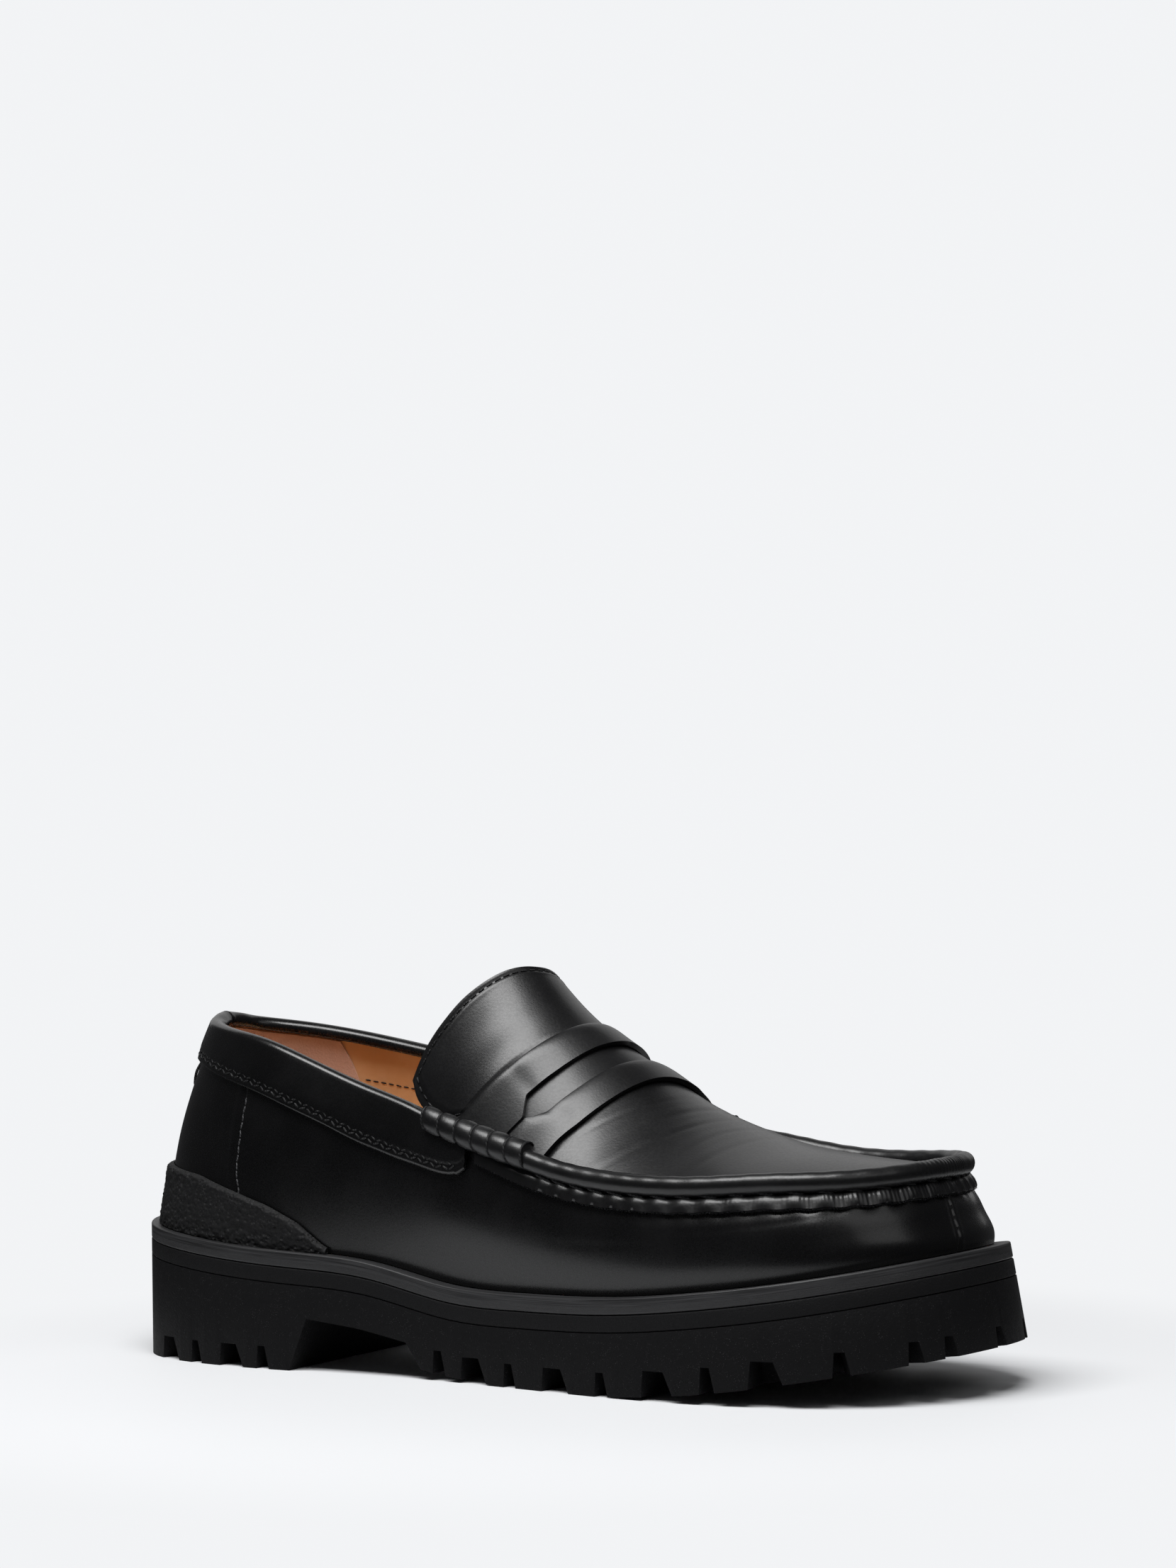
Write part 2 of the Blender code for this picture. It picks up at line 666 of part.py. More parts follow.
def notch_corners(u, width, lean, reach):
    """Eight corners of the wedge that cuts one notch between two lugs."""
    p, n = outline(u)
    inside = p - n * reach
    along = share(p[0])
    floor = tread_height(along)
    rise = NOTCH_HEIGHT * (1 - 0.19 * np.clip((along - 0.8) / 0.2, 0, 1))
    shift = 5.6 * MM * np.sin(np.arctan(0.2)) * np.clip((along - 0.75) / 0.25, 0, 1)
    tangent = np.array([-n[1], n[0]])
    out = []
    for base in (p + n * (4 * MM + shift * 2), inside):
        for z, front, back in ((rise, 0.5, 0.5), (-8 * MM, 0.62, 1.25)):
            spread = width if z > 0 else width + 1.2 * MM
            a = base - tangent * spread * front * lean
            b = base + tangent * spread * back * lean
            out.append((a[0], a[1], floor + z))
            out.append((b[0], b[1], floor + z))
    order = (0, 1, 3, 2, 4, 5, 7, 6)
    return [out[k] for k in order]


def middle_groove(along):
    """Eight corners of a groove across the middle of the tread, slanted like a chevron's arm."""
    ends = []
    for medial in (False, True):
        u = turn_at(along + (0.012 if medial else -0.012), medial)
        p, n = outline(1 - u if medial else u)
        ends.append(p - n * (LUG_REACH + 1.5 * MM))
    side = unit(np.array([ends[0][1] - ends[1][1], ends[1][0] - ends[0][0]])) * 1.8 * MM
    floor = float(tread_height(along))
    out = []
    for end in ends:
        for z, sign in ((CLEAT_DEPTH * 0.8, -1), (CLEAT_DEPTH * 0.8, 1), (-9 * MM, 1), (-9 * MM, -1)):
            q = end + side * sign
            out.append((q[0], q[1], floor + z))
    return out


def groove_path(start, end):
    """Closed plan path of the groove that parts the edge lugs from the middle of the tread."""
    low, high = turn_at(start), turn_at(end)
    lateral = np.linspace(low, high, 22)
    p0, n0 = outline(lateral)
    low, high = turn_at(start, True), turn_at(end, True)
    medial = np.linspace(high, low, 22)
    p1, n1 = outline(1 - medial)
    inset = LUG_REACH + 1.1 * MM
    return np.concatenate([p0 - n0 * inset, p1 - n1 * inset])


def groove(path, width):
    """Closed cutter of square section along a plan path."""
    ahead = np.roll(path, -1, 0) - np.roll(path, 1, 0)
    side = unit(np.stack([ahead[:, 1], -ahead[:, 0]], -1)) * width / 2
    floor = tread_height(share(path[:, 0]))
    sections = []
    for p, s, z in zip(path, side, floor):
        inner, outer = p - s, p + s
        sections.append([(inner[0], inner[1], z - 8 * MM), (outer[0], outer[1], z - 8 * MM),
                         (outer[0], outer[1], z + CLEAT_DEPTH), (inner[0], inner[1], z + CLEAT_DEPTH)])
    return sweep("groove", sections, None, closed=True)


def make_upper(slot):
    """Hollow leather upper: lasting margin, side wall and apron in one sheet."""
    rows = 24
    lateral = np.linspace(0.5, float(TURNS(THROAT)[0]), rows + 1)
    stations = station_at(lateral, 0)
    stations[0], stations[-1] = 0.0, THROAT
    medial = TURNS(stations)[:, 1]
    medial[0] = 0.5
    rear = round_heel(BAND_END_MEDIAL, BAND_END_LATERAL, COLLAR_STATIONS)
    between = (BAND_END_MEDIAL + medial[-1]) / 2
    rear = np.concatenate([[-medial[-1], -between], rear, np.linspace(BAND_END_LATERAL, lateral[-1], 4)[1:]])
    turns = np.concatenate([rear, lateral[-2::-1], 1 - medial[1:-1]])
    first_row = len(rear) - 1
    p, n = outline(turns)
    levels = []
    for inset, rise in ((MARGIN_INSET, 0.0), (6.2 * MM, 0.0), (5.2 * MM, 0.5 * MM)):
        x = p[:, 0] - n[:, 0] * inset
        y = p[:, 1] - n[:, 1] * inset
        levels.append(np.stack([x, y, welt_top(x) + UPPER_GAP + rise], -1))
    for v in (0.08, 0.18, 0.31, 0.46, 0.62, 0.77, 0.90, 1.0):
        levels.append(wall(turns, v))
    grid = np.stack(levels, 1)
    count, depth = grid.shape[:2]
    points = [q for row in grid for q in row]
    ids = np.arange(count * depth).reshape(count, depth)
    faces = grid_faces(ids, closed=True)
    seam = ids[:, -1]
    columns = 11
    across = np.linspace(-1, 1, columns)
    rows_ids = [[int(seam[first_row + rows])] * columns]
    for k in range(1, rows + 1):
        line = [int(seam[first_row + rows - k])]
        inner = crown(across[1:-1], stations[k])
        line += list(range(len(points), len(points) + columns - 2))
        points += list(inner)
        line.append(int(seam[(first_row + rows + k) % count]))
        rows_ids.append(line)
    faces += [ring[::-1] for ring in grid_faces(rows_ids)]
    points, faces = layer(points, faces, -LEATHER, 0.0)
    return solid("upper", points, faces, slot)


def make_tongue(slot):
    """Tongue that rises from under the strap."""
    t = np.concatenate([np.linspace(TONGUE_START, 0.93, 9), [0.97, 0.99, 1.0]])
    reach = np.interp(t, [r[0] for r in TONGUE_REACH], [r[1] for r in TONGUE_REACH])
    grid = np.stack([crown(np.linspace(-r, r, 17), a) for a, r in zip(t, reach)])
    ids = np.arange(grid.shape[0] * grid.shape[1]).reshape(grid.shape[:2])
    points, faces = layer(grid.reshape(-1, 3), upward(grid, grid_faces(ids)), -TONGUE_LEATHER, 0.0)
    return solid("tongue", points, faces, slot)


def upward(grid, faces):
    """Faces of a crown sheet turned so that they look up."""
    points = grid.reshape(-1, 3)
    total = 0.0
    for ring in faces:
        corner = points[ring]
        total += float(np.cross(corner[1] - corner[0], corner[2] - corner[0])[2])
    return faces if total > 0 else [ring[::-1] for ring in faces]


def make_strap(slot):
    """Penny strap over the crown with its long pointed slot."""
    knots = [r[0] for r in STRAP]
    w = np.array(sorted(set(np.linspace(-STRAP_REACH, STRAP_REACH, 21).round(4)) | set(knots)))
    lines = [np.interp(w, knots, [r[k] for r in STRAP]) for k in range(1, 5)]
    front, low, high, rear = lines
    open_slot = (high - low) > 1e-6
    points, ids = [], []
    for k, across in enumerate(w):
        stops = list(np.linspace(front[k], low[k], 3)) + list(np.linspace(high[k], rear[k], 3))
        row = []
        for j, t in enumerate(stops):
            if j == 3 and not open_slot[k]:
                row.append(row[-1])
                continue
            row.append(len(points))
            points.append(crown(np.array(across), t))
        ids.append(row)
    ids = np.array(ids)
    faces = grid_faces(ids[:, :3]) + grid_faces(ids[:, 3:])
    faces = upward(np.array(points), faces)
    points, faces = layer(points, faces, UPPER_GAP, UPPER_GAP + STRAP_LEATHER)
    return solid("saddle_strap", points, faces, slot)


def seam_frame(u):
    """Corner, outward direction, wall line and crown line of the seam at a turn."""
    corner = wall(np.array(u), 1.0)
    ahead = wall(np.array(u + 2e-3), 1.0) - wall(np.array(u - 2e-3), 1.0)
    out = unit(np.array([ahead[1], -ahead[0], 0.0]))
    rise = wall_rise(np.array(u), 1.0)
    up = unit(np.array([rise @ out, rise[2]]))
    slope = seam_slope(u, out)
    back = np.array([-math.cos(slope), math.sin(slope)])
    return corner, out, up, back


def corner_point(up, back, gap_wall, gap_crown):
    """Plan corner of two lines moved outward from the wall and the crown."""
    n_wall = np.array([up[1], -up[0]])
    n_crown = np.array([back[1], -back[0]])
    return np.linalg.solve(np.array([n_wall, n_crown]), np.array([gap_wall, gap_crown]))


def lift(corner, out, flat):
    """Section points in the plane of outward and up, as points in space."""
    return [corner + out * a + np.array([0, 0, b]) for a, b in flat]


def circle_hit(start, way, centre, radius):
    """Last crossing of a ray with a circle."""
    s = start - centre
    b = s @ way
    return start + way * (-b + math.sqrt(max(b * b - s @ s + radius * radius, 0.0)))


def arc(centre, radius, first, last, count):
    """Points of a circle between two angles, the ends left out."""
    angles = np.linspace(first, last, count + 2)[1:-1]
    return [centre + radius * np.array([math.cos(a), math.sin(a)]) for a in angles]


def bead_section(u):
    """Rolled edge of the apron over its puckered lip."""
    corner, out, up, back = seam_frame(u)
    n_wall = np.array([up[1], -up[0]])
    toe = max(0.0, 1 - abs(u - 0.5) / 0.05)
    start = max(0.0, 1 - min(u - LATERAL_ROLL[1], 1 - MEDIAL_ROLL[1] - u) / 0.02)
    notch = corner_point(up, back, (0.35 + 0.6 * start) * MM, (0.5 + 1.0 * toe + 0.4 * start) * MM)
    height = float(wall_height(np.array(u)))
    flat = [notch]
    for drop in (2.6 * MM, LIP_DROP):
        v = 1 - drop / height
        q = wall(np.array(u), v) + wall_normal(np.array(u), v) * 0.3 * MM - corner
        flat.append(np.array([q @ out, q[2]]))
    v = 1 - LIP_DROP / height
    q = wall(np.array(u), v) + wall_normal(np.array(u), v) * (0.3 * MM + LIP_LEATHER) - corner
    flat.append(np.array([q @ out, q[2]]))
    flat.append(-up * 1.9 * MM + n_wall * (0.5 * MM + LIP_LEATHER))
    flat.append(-up * 0.9 * MM + n_wall * 1.2 * MM)
    centre = np.array([0.8 * MM, 2.9 * MM])
    end = circle_hit(notch, back, centre, BEAD_RADIUS)
    last = math.atan2(*(end - centre)[::-1])
    if last < 0:
        last += 2 * math.pi
    flat += arc(centre, BEAD_RADIUS, math.radians(-72), last, 7)
    flat.append(end)
    return lift(corner, out, flat)


def roll_section(u, place, turn_end, band_end):
    """Section of the whipped roll at the strap's end."""
    corner, out, up, back = seam_frame(u)
    turn = min(u % 1.0, 1 - u % 1.0)
    over = np.clip((band_end + 0.0012 - turn) / 0.0012, 0, 1)
    gap = (0.95 + 1.95 * over) * MM
    notch = corner_point(up, back, gap, gap)
    phase = place * ROLL_LOOPS % 1.0
    pinch = max(0.0, 1 - min(phase, 1 - phase) / 0.16) ** 1.5
    radius = ROLL_RADIUS * (1 - 0.11 * pinch)
    centre = np.array([0.7 * MM, (0.6 + 3.6 * place) * MM])
    start = circle_hit(notch, -up, centre, radius)
    end = circle_hit(notch, back, centre, radius)
    first = math.atan2(*(start - centre)[::-1])
    last = math.atan2(*(end - centre)[::-1])
    if last < first:
        last += 2 * math.pi
    flat = [notch, start] + arc(centre, radius, first, last, 9) + [end]
    return lift(corner, out, flat)


def make_roll(name, side, span, band_end, slot):
    """One whipped roll."""
    places = sorted(set(np.linspace(0, 1, ROLL_LOOPS + 1).round(5)) |
                    {round((k + d) / ROLL_LOOPS, 5) for k in range(ROLL_LOOPS) for d in (0.12, 0.5, 0.88)})
    sections = []
    for place in places:
        turn = span[0] + (span[1] - span[0]) * place
        sections.append(roll_section(turn if side == 0 else 1 - turn, place, span[1], band_end))
    return sweep(name, sections, slot)


def make_bead(slot):
    """Rolled seam round the apron from one roll to the other."""
    turns = np.linspace(LATERAL_ROLL[1] + 0.0008, 1 - MEDIAL_ROLL[1] - 0.0008, 72)
    return sweep("apron_bead", [bead_section(float(u)) for u in turns], slot)


def band_section(u, low):
    """Section of the collar band folded over the upper's edge."""
    height = float(wall_height(np.array(u)))
    inner = 1 - BAND_INNER_DROP / height
    slack = 0.1 * MM + 0.5 * MM * max(0.0, 1 - abs(u) / 0.04)
    outer_face, outer_back, inner_face, inner_back = [], [], [], []
    for v in np.linspace(low, 1.0, 4):
        q, n = wall(np.array(u), v), wall_normal(np.array(u), v)
        outer_back.append(q + n * (UPPER_GAP + slack))
        outer_face.append(q + n * (UPPER_GAP + slack + BAND_LEATHER * (0.72 if v == low else 1.0)))
    for v in (inner, 1.0):
        q, n = wall(np.array(u), v), wall_normal(np.array(u), v)
        inner_back.append(q - n * (LEATHER + UPPER_GAP + 0.2 * MM + slack))
        inner_face.append(q - n * (LEATHER + UPPER_GAP + 0.2 * MM + slack + BAND_LEATHER))
    top, n, up = wall(np.array(u), 1.0), wall_normal(np.array(u), 1.0), wall_rise(np.array(u))
    cap = [top + n * 0.9 * MM + up * 1.5 * MM, top - n * 1.0 * MM + up * 2.1 * MM,
           top - n * 3.0 * MM + up * 1.5 * MM]
    notch = [top - n * (LEATHER + UPPER_GAP + slack) + up * 0.9 * MM, top + n * (UPPER_GAP + slack) + up * 0.8 * MM]
    return outer_face + cap + inner_face[::-1] + inner_back + notch + outer_back[::-1]


def make_band(slot):
    """Padded band round the collar."""
    knots, edge = [r[0] for r in BAND_EDGE], [r[1] for r in BAND_EDGE]
    sections = []
    for u in round_heel(BAND_END_MEDIAL, BAND_END_LATERAL, COLLAR_STATIONS):
        place = u if u > 0 else -u * BAND_END_LATERAL / BAND_END_MEDIAL
        sections.append(band_section(u, float(np.interp(place, knots, edge))))
    return sweep("collar_band", sections, slot)


def make_heel_wrap(slot):
    """Rubber rand standing round the heel."""
    knots, top = [r[0] for r in WRAP_TOP], [r[1] for r in WRAP_TOP]
    end = knots[-1]
    turns = round_heel(BAND_END_MEDIAL, BAND_END_LATERAL, COLLAR_STATIONS)
    turns = np.concatenate([[-end], turns[np.abs(turns) < end - 0.002], [end]])
    heights = np.interp(np.abs(turns), knots, top)
    rows = np.array([0.0, 0.32, 0.64, 0.93, 1.0])
    grid = np.stack([wall(np.full(len(rows), u), rows * h) for u, h in zip(turns, heights)])
    ids = np.arange(grid.shape[0] * grid.shape[1]).reshape(grid.shape[:2])
    thick = np.tile([1, 1, 1, 1, 0.55], len(turns)) * HEEL_WRAP_THICKNESS
    points, faces = layer(grid.reshape(-1, 3), grid_faces(ids), UPPER_GAP, UPPER_GAP + thick)
    points[:, 2] = np.maximum(points[:, 2], welt_top(points[:, 0]) + UPPER_GAP)
    return solid("heel_wrap", points, faces, slot)


def make_insole(slot):
    """Leather sock on the lasting margin."""
    turns = sole_turns(48)
    edges = []
    for rise in (INSOLE_RISE, INSOLE_RISE + INSOLE_THICKNESS):
        sides = []
        for u in (turns, 1 - turns):
            v = rise / wall_height(u)
            q = wall(u, v) - wall_normal(u, v) * (LEATHER + INSOLE_SIDE_GAP)
            sides.append(q[:, :2])
        mix = np.linspace(0, 1, 2)[None, :, None]
        flat = sides[0][:, None] * (1 - mix) + sides[1][:, None] * mix
        edges.append(np.concatenate([flat, (welt_top(flat[..., 0]) + UPPER_GAP + rise)[..., None]], -1))
    return block("insole", edges[1], edges[0], slot)


def build():
    """Make every piece of the shoe."""
    for old in list(bpy.data.objects):
        bpy.data.objects.remove(old, do_unlink=True)
    leather = material("leather_black", (0.012, 0.012, 0.013), 0.28)
    edge = material("welt_black", (0.030, 0.031, 0.034), 0.50)
    grain = material("midsole_black", (0.020, 0.020, 0.022), 0.70)
    rubber = material("rubber_black", (0.018, 0.018, 0.019), 0.72)
    rand = material("rand_black", (0.022, 0.022, 0.024), 0.80)
    lining = material("lining_tan", (0.560, 0.300, 0.150), 0.55)
    make_outsole(rubber)
    step = WELT_THICKNESS + LAYER_GAP
    make_plate("midsole", step, step + MIDSOLE_THICKNESS, 0.0, grain)
    make_plate("welt", 0.0, WELT_THICKNESS, 0.0, edge)
    make_insole(lining)
    make_upper(leather)
    make_tongue(leather)
    make_strap(leather)
    make_bead(leather)
    make_roll("beef_roll_lateral", 0, LATERAL_ROLL, BAND_END_LATERAL, leather)
    make_roll("beef_roll_medial", 1, MEDIAL_ROLL, BAND_END_MEDIAL, leather)
    make_band(leather)
    make_heel_wrap(rand)
    settle()


def settle():
    """Move every piece so that the origin is under the middle of the whole shoe."""
    meshes = [piece.data for piece in bpy.data.objects]
    points = np.array([v.co[:] for mesh in meshes for v in mesh.vertices])
    low, high = points.min(0), points.max(0)
    shift = Matrix.Translation((-(low[0] + high[0]) / 2, -(low[1] + high[1]) / 2, -low[2]))
    for mesh in meshes:
        mesh.transform(shift)
        mesh.update()


build()
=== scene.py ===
"""Chunky lug sole penny loafer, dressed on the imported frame."""
import logging
import math
from dataclasses import dataclass, field
from enum import Enum

import bmesh
import bpy
import numpy as np
from mathutils import Matrix, Vector, noise


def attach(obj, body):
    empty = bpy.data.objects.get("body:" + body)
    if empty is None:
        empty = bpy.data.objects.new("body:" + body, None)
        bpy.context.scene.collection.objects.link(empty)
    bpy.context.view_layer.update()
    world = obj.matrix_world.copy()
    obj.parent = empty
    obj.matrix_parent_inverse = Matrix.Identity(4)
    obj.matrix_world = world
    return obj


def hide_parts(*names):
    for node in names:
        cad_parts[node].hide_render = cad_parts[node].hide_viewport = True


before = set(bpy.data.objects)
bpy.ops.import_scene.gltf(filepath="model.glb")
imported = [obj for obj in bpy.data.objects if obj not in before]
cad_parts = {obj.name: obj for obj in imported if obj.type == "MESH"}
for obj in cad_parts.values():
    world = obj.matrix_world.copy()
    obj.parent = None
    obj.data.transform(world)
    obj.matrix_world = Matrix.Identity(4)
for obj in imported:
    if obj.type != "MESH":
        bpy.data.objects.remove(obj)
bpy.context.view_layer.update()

LOG = logging.getLogger("loafer")
MM = 0.001
SHIFT = np.array([-2.6222, -0.7373, 0.0]) * MM

# place along the sole, lateral and medial half width as shares of half the width
OUTLINE = (
    (0.000, 0.000, 0.000), (0.020, 0.318, 0.330), (0.060, 0.526, 0.540), (0.130, 0.663, 0.660),
    (0.220, 0.722, 0.680), (0.320, 0.721, 0.620), (0.420, 0.740, 0.590), (0.520, 0.813, 0.690),
    (0.620, 0.916, 0.880), (0.700, 0.981, 1.000), (0.780, 0.993, 1.020), (0.860, 0.916, 0.970),
    (0.920, 0.738, 0.869), (0.965, 0.479, 0.686), (0.990, 0.200, 0.442), (1.000, -0.119, 0.119),
)
# place along the sole, share of the heel's lift, share of the toe spring
STACK = (
    (0.00, 1.000, 0.000), (0.12, 0.760, 0.000), (0.25, 0.590, 0.000), (0.35, 0.440, 0.000),
    (0.45, 0.070, 0.000), (0.55, 0.000, 0.000), (0.65, 0.000, 0.055), (0.75, 0.000, 0.235),
    (0.87, 0.000, 0.555), (1.00, 0.000, 1.000),
)
# place along the sole, share of the arch height, share of the toe spring
TREAD = (
    (0.000, 0.00, 0.000), (0.252, 0.00, 0.000), (0.275, 1.00, 0.000), (0.340, 0.87, 0.000),
    (0.400, 0.67, 0.000), (0.420, 0.00, 0.195), (0.460, 0.00, 0.091), (0.500, 0.00, 0.026),
    (0.540, 0.00, 0.000), (0.650, 0.00, 0.000), (0.700, 0.00, 0.078), (0.750, 0.00, 0.182),
    (0.800, 0.00, 0.318), (0.860, 0.00, 0.513), (0.920, 0.00, 0.708), (0.965, 0.00, 0.857),
    (1.000, 0.00, 0.974),
)
# place along the sole, share of the back height, insets at four levels in per cent of the width
WALL_LATERAL = (
    (0.000, 1.033, 6.43, 9.82, 16.07, 22.32), (0.060, 1.028, 5.54, 8.04, 13.04, 18.75),
    (0.130, 1.018, 4.64, 5.54, 8.39, 12.95), (0.210, 0.985, 3.75, 3.39, 4.91, 8.75),
    (0.277, 0.895, 3.57, 2.68, 3.93, 7.50), (0.342, 0.812, 3.57, 2.50, 3.39, 6.43),
    (0.400, 0.780, 3.39, 2.05, 2.50, 5.00), (0.460, 0.720, 3.39, 1.79, 2.14, 4.11),
    (0.534, 0.607, 3.39, 2.14, 2.68, 4.82), (0.583, 0.540, 3.48, 2.59, 3.39, 5.71),
    (0.658, 0.479, 3.57, 3.12, 4.46, 7.14), (0.746, 0.433, 3.57, 3.57, 5.36, 8.57),
    (0.837, 0.403, 3.75, 4.11, 6.43, 9.82), (0.939, 0.346, 4.11, 5.89, 8.93, 11.96),
    (1.000, 0.323, 4.46, 7.14, 10.36, 13.21),
)
WALL_MEDIAL = (
    (0.000, 1.033, 6.43, 9.82, 16.07, 22.32), (0.060, 1.030, 5.54, 8.04, 13.04, 18.75),
    (0.130, 1.022, 4.29, 5.18, 8.04, 12.68), (0.220, 0.985, 2.68, 1.61, 3.12, 7.14),
    (0.279, 0.947, 1.96, -0.18, 1.07, 4.64), (0.350, 0.900, 0.89, -2.14, -1.43, 1.61),
    (0.420, 0.860, 0.45, -3.57, -3.12, -0.45), (0.520, 0.770, 1.34, -1.79, -0.89, 2.68),
    (0.630, 0.630, 2.68, 1.43, 3.75, 8.04), (0.710, 0.540, 3.39, 3.04, 5.80, 10.71),
    (0.790, 0.450, 3.57, 3.75, 6.70, 11.61), (0.870, 0.394, 3.75, 4.29, 7.14, 11.96),
    (0.956, 0.350, 4.20, 6.43, 9.64, 12.68), (1.000, 0.323, 4.46, 7.14, 10.36, 13.21),
)
# station, lateral and medial turn, crest along and across in per cent and its height, half arc in degrees
CROWN = (
    (0.00, 0.500, 0.500, 45.59, 4.46, 0.356, 42), (0.03, 0.462, 0.468, 43.79, 4.46, 0.395, 44),
    (0.08, 0.430, 0.436, 40.85, 4.46, 0.440, 46), (0.15, 0.400, 0.406, 36.60, 2.68, 0.490, 48),
    (0.22, 0.374, 0.384, 32.68, 1.34, 0.538, 50), (0.29, 0.350, 0.365, 28.76, 0.00, 0.586, 52),
    (0.36, 0.325, 0.346, 24.84, -0.89, 0.645, 54), (0.43, 0.295, 0.322, 20.92, -1.79, 0.722, 56),
    (0.52, 0.262, 0.293, 16.34, -2.23, 0.836, 60), (0.65, 0.238, 0.266, 10.46, -2.23, 1.043, 66),
    (0.78, 0.217, 0.241, 4.90, -2.68, 1.250, 72),
)
# station, then along, across and up of the lateral edge, the medial edge and the crest, half arc
TONGUE = (
    (0.78, -4.25, -32.68, 0.804, 1.14, 31.79, 0.833, 4.90, -2.68, 1.250, 72),
    (0.88, -7.35, -30.18, 0.828, -1.63, 29.11, 0.897, 1.96, -2.68, 1.368, 76),
    (1.00, -11.11, -28.21, 0.864, -4.90, 26.43, 0.982, -1.31, -2.23, 1.521, 79),
)
# place across, then stations of the front edge, the slot's two sides and the rear edge
STRAP = (
    (-0.840, 0.561, 0.664, 0.664, 0.755), (-0.767, 0.566, 0.664, 0.664, 0.760),
    (-0.660, 0.570, 0.641, 0.690, 0.763), (-0.440, 0.580, 0.644, 0.694, 0.766),
    (-0.140, 0.594, 0.653, 0.703, 0.770), (0.200, 0.600, 0.658, 0.708, 0.774),
    (0.440, 0.594, 0.653, 0.703, 0.772), (0.660, 0.584, 0.648, 0.697, 0.768),
    (0.767, 0.576, 0.668, 0.668, 0.764), (0.840, 0.569, 0.668, 0.668, 0.758),
)
# turn and height of the collar band's lower edge
BAND_EDGE = (
    (0.0000, 0.800), (0.0700, 0.815), (0.1130, 0.772), (0.1350, 0.744), (0.1530, 0.725),
    (0.1710, 0.693), (0.1900, 0.684), (0.2090, 0.706), (0.2150, 0.722), (0.2200, 0.752),
    (0.2235, 0.810),
)
# turn and height of the heel wrap's upper edge
WRAP_TOP = (
    (0.0000, 0.285), (0.0400, 0.295), (0.0827, 0.297), (0.1076, 0.251), (0.1259, 0.212),
    (0.1405, 0.150), (0.1504, 0.060), (0.1545, 0.025),
)
# place along the sole and width as a share of the notch width
NOTCHES = (
    (0.075, 0.93), (0.121, 0.40), (0.171, 0.93), (0.216, 0.40), (0.441, 0.40), (0.484, 0.93),
    (0.534, 0.40), (0.592, 1.00), (0.653, 0.40), (0.718, 1.03), (0.777, 0.40), (0.836, 1.00),
    (0.905, 0.46), (0.958, 0.46),
)
# places along the sole of the grooves in the middle, then turns of the notches at the ends
MIDDLE_GROOVES = (0.500, 0.572, 0.644, 0.716, 0.788, 0.860, 0.925, 0.095, 0.160)
TOE_NOTCHES = (0.455, 0.489, 0.523, 0.553)
HEEL_BACK_NOTCHES = (-0.022, 0.022)
BOX_FACES = ((0, 1, 2, 3), (7, 6, 5, 4), (0, 4, 5, 1), (1, 5, 6, 2), (2, 6, 7, 3), (3, 7, 4, 0))
WALL_LEVELS = (0.0, 0.17, 0.45, 0.75, 1.0)


class Side(Enum):
    """Side of the shoe that a detail is on."""

    LATERAL = 0
    MEDIAL = 1

    def round(self, turn: np.ndarray) -> np.ndarray:
        """Turn round the whole sole of a turn counted from the heel on this side."""
        return 1 - turn if self is Side.MEDIAL else turn


class Spline:
    """Natural or closed cubic spline through rows of values."""

    def __init__(self, knots: list, values: list, closed: bool = False) -> None:
        """Solve the spline.

        Args:
            knots: Places of the rows, rising.
            values: One row of numbers for each place.
            closed: Whether the last row joins the first.
        """
        self.knots = np.asarray(knots, float)
        rows = np.asarray(values, float).reshape(len(knots), -1)
        self.single = np.asarray(values).ndim == 1
        count, step = len(knots), np.diff(self.knots)
        slope = np.diff(rows, axis=0) / step[:, None]
        matrix, right = np.zeros((count, count)), np.zeros_like(rows)
        for i in range(1, count - 1):
            matrix[i, i - 1:i + 2] = (step[i - 1], 2 * (step[i - 1] + step[i]), step[i])
            right[i] = 6 * (slope[i] - slope[i - 1])
        matrix[0, 0] = matrix[-1, -1] = 1
        if closed:
            matrix[0, :2] = (2 * (step[-1] + step[0]), step[0])
            matrix[0, count - 2] = step[-1]
            right[0] = 6 * (slope[0] - slope[-1])
            matrix[-1, 0] = -1
        self.bend, self.rows, self.step = np.linalg.solve(matrix, right), rows, step

    def __call__(self, x: np.ndarray, order: int = 0) -> np.ndarray:
        """Value at a place, or its slope.

        Args:
            x: Places.
            order: 0 for the value, 1 for the slope.

        Returns:
            Rows of numbers, or numbers where the values are single.
        """
        x = np.asarray(x, float)
        flat = x.reshape(-1)
        i = np.clip(np.searchsorted(self.knots, flat, side="right") - 1, 0, len(self.step) - 1)
        h = self.step[i][:, None]
        p, q = (self.knots[i + 1] - flat)[:, None], (flat - self.knots[i])[:, None]
        m0, m1, y0, y1 = self.bend[i], self.bend[i + 1], self.rows[i], self.rows[i + 1]
        if order == 0:
            out = (m0 * p**3 + m1 * q**3) / (6 * h) + (y0 / h - m0 * h / 6) * p + (y1 / h - m1 * h / 6) * q
        else:
            out = (m1 * q**2 - m0 * p**2) / (2 * h) + (y1 - y0) / h - (m1 - m0) * h / 6
        return out.reshape(x.shape) if self.single else out.reshape(x.shape + (-1,))


def unit(v: np.ndarray) -> np.ndarray:
    """Vectors scaled to length one."""
    return v / np.maximum(np.linalg.norm(v, axis=-1, keepdims=True), 1e-12)


def table(rows: tuple, *places: int) -> list:
    """Columns of a table as a list of rows."""
    return [[row[k] for k in places] for row in rows]


def bump(x: np.ndarray, centre: float, width: float) -> np.ndarray:
    """Bell curve of height one."""
    return np.exp(-(((np.asarray(x, float) - centre) / width) ** 2))


def walked(path: np.ndarray) -> np.ndarray:
    """Length walked up to each point of a path."""
    return np.concatenate([[0], np.cumsum(np.linalg.norm(np.diff(path, axis=0), axis=1))])


